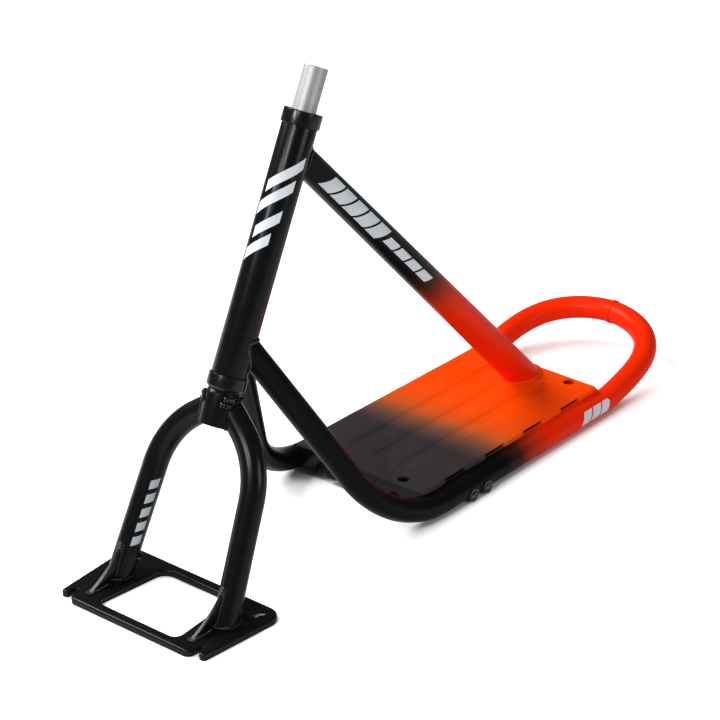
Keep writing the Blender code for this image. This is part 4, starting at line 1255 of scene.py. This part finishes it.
def buildCrossPlates():
    top, low, notch = deck["top"] - deck["thickness"], cross["bottom"], cross["notchHalf"]
    for word, front, weldBack, coatUsed, slotUsed in (
            ("front", deckFront, cross["weldIn"], blackCoat, "black_paint"),
            ("rear", deckRear + cross["thickness"], cross["thickness"] - cross["weldIn"],
             railCoat, "fade_paint")):
        place = front - axisFoot.x
        half = railHalf(place) - cross["gap"]
        outline = [(half, top), (-half, top), (-half, low)]
        for y in (-cross["notchY"], cross["notchY"]):
            outline.append((y - notch, low))
            outline += arcPoints(y, cross["notchTop"] - notch, notch, 180, 0, 20)
            outline.append((y + notch, low))
        outline.append((half, low))
        wall = loft(word + "_cross_coat", [[(front - back, y, z) for y, z in outline]
                                           for back in (cross["setback"], cross["thickness"])])
        spaces, seams = [], []
        for side in (1, -1):    # room for the rails, and a short weld on each
            ends = [onRail(place + way * cross["spaceReach"], side) for way in (1, -1)]
            spaces.append(rod(*ends, rail["radius"] - cross["sunk"]))
            seams.append(([
                onRail(place, side) - xWay * weldBack
                + spoke(yWay * side, zWay, math.radians(turn)) * rail["radius"]
                for turn in cross["weldTurns"]], False))
        finished(cut(wall, spaces), coatUsed, "frame", slotUsed, word + "_cross_plate")
        weld(word + "_cross_weld", seams, coatUsed, "frame", slotUsed, cross["weldScale"])


buildDeck()
buildDeckSeams()
buildCrossPlates()
print("deck made")


# Inner pieces keep their solids and get a finish of their own

inner = {"crown_race": anodised, "compression_ring": bareTube}
for end in ("upper", "lower"):
    inner[end + "_bearing_outer_race"] = inner[end + "_bearing_inner_race"] = bearingSteel
    inner[end + "_ball_cage"] = cageBrass
for node, material in inner.items():
    mesh = frame["nodes"][node].data
    mesh.materials.clear()
    mesh.materials.append(material)


# Floor, light and camera

stage = {"floor": (0.86, 0.86, 0.86, 1), "reach": 0.12, "glow": 0.75, "world": 0.12, "drop": 0.3 * mm}
lamps = {    # place, aim, size, power and roll
    "overhead": ((0.6, -1.8, 2.0), (-0.2, 0, 0.1), (1.3, 1.3), 84, 0),
    "stripLow": ((2.66, -0.32, 1.74), (0.36, 0.07, 0.2), (0.06, 0.7), 27, 68),
    "stripHigh": ((2.38, 0.38, 2.13), (0.36, 0.07, 0.2), (0.06, 0.7), 27, 48),
    "fill": ((-0.3, 2.9, 1.3), (-0.2, 0, 0.1), (1.2, 1.2), 26, 0),
}
shot = {
    "azimuth": 129.8, "elevation": 26.46, "aim": level(-355.3 * mm, 0, 185.0 * mm),
    "distance": 3.5016, "lens": 145.16, "sensor": 36, "farthest": 50,
}


def buildStage():
    finish = Finish("paleFloor")
    seen = finish.make("ShaderNodeLightPath", out="Is Camera Ray")
    plain = finish.make("ShaderNodeBsdfDiffuse", None, {"Color": stage["floor"]})
    # painted shadow: the floor's glow for the camera fades with ambient occlusion, so it is dark
    # under the deck and grey beside the object
    unshadedShare = finish.make("ShaderNodeAmbientOcclusion", {"samples": 12}, {
        "Distance": stage["reach"]}, out="AO")
    glow = finish.make("ShaderNodeEmission", None, {
        "Color": (1, 1, 1, 1), "Strength": finish.between(unshadedShare, 0.30, 0.92) * stage["glow"]})
    lit = finish.make("ShaderNodeAddShader", None, {0: plain, 1: glow})
    mixed = finish.make("ShaderNodeMixShader", None, {0: seen, 1: plain, 2: lit})
    finish.make("ShaderNodeOutputMaterial", None, {"Surface": mixed})
    bpy.ops.mesh.primitive_plane_add(size=40, location=(0, 0, -stage["drop"]))
    floor = bpy.context.object
    floor.name = "floor"
    floor.data.materials.append(finish.material)

    world = bpy.data.worlds.new("studio")
    bpy.context.scene.world = world
    world.use_nodes = True
    bench = Bench(world.node_tree)
    bench.tree.nodes.clear()
    seen = bench.make("ShaderNodeLightPath", out="Is Camera Ray")
    dim = bench.make("ShaderNodeBackground", None, {
        "Color": (0.96, 0.98, 1, 1), "Strength": stage["world"]})
    white = bench.make("ShaderNodeBackground", None, {"Color": (1, 1, 1, 1), "Strength": 1.0})
    mixed = bench.make("ShaderNodeMixShader", None, {0: seen, 1: dim, 2: white})
    bench.make("ShaderNodeOutputWorld", None, {"Surface": mixed})


def addLamp(name, place, aim, size, power, roll):
    data = bpy.data.lights.new(name, "AREA")
    data.shape = "RECTANGLE"
    data.size, data.size_y = size
    data.energy = power
    lamp = placed(name, data)
    lamp.location = place
    look = (Vector(aim) - Vector(place)).to_track_quat("-Z", "Y")
    lamp.rotation_euler = (look @ Quaternion((0, 0, 1), math.radians(roll))).to_euler()
    lamp.visible_camera = False


def addCamera():
    turn, rise = math.radians(shot["azimuth"]), math.radians(shot["elevation"])
    toward = spoke(spoke(-yWay, xWay, turn), zWay, rise)
    data = bpy.data.cameras.new("camera")
    data.lens = shot["lens"]
    data.sensor_width = shot["sensor"]
    data.clip_end = shot["farthest"]
    camera = placed("camera", data)
    camera.location = shot["aim"] + toward * shot["distance"]
    camera.rotation_euler = (-toward).to_track_quat("-Z", "Y").to_euler()
    bpy.context.scene.camera = camera


buildStage()
for name, values in lamps.items():
    addLamp(name, *values)
addCamera()
bpy.context.scene.view_settings.view_transform = "Standard"
print("stage made")
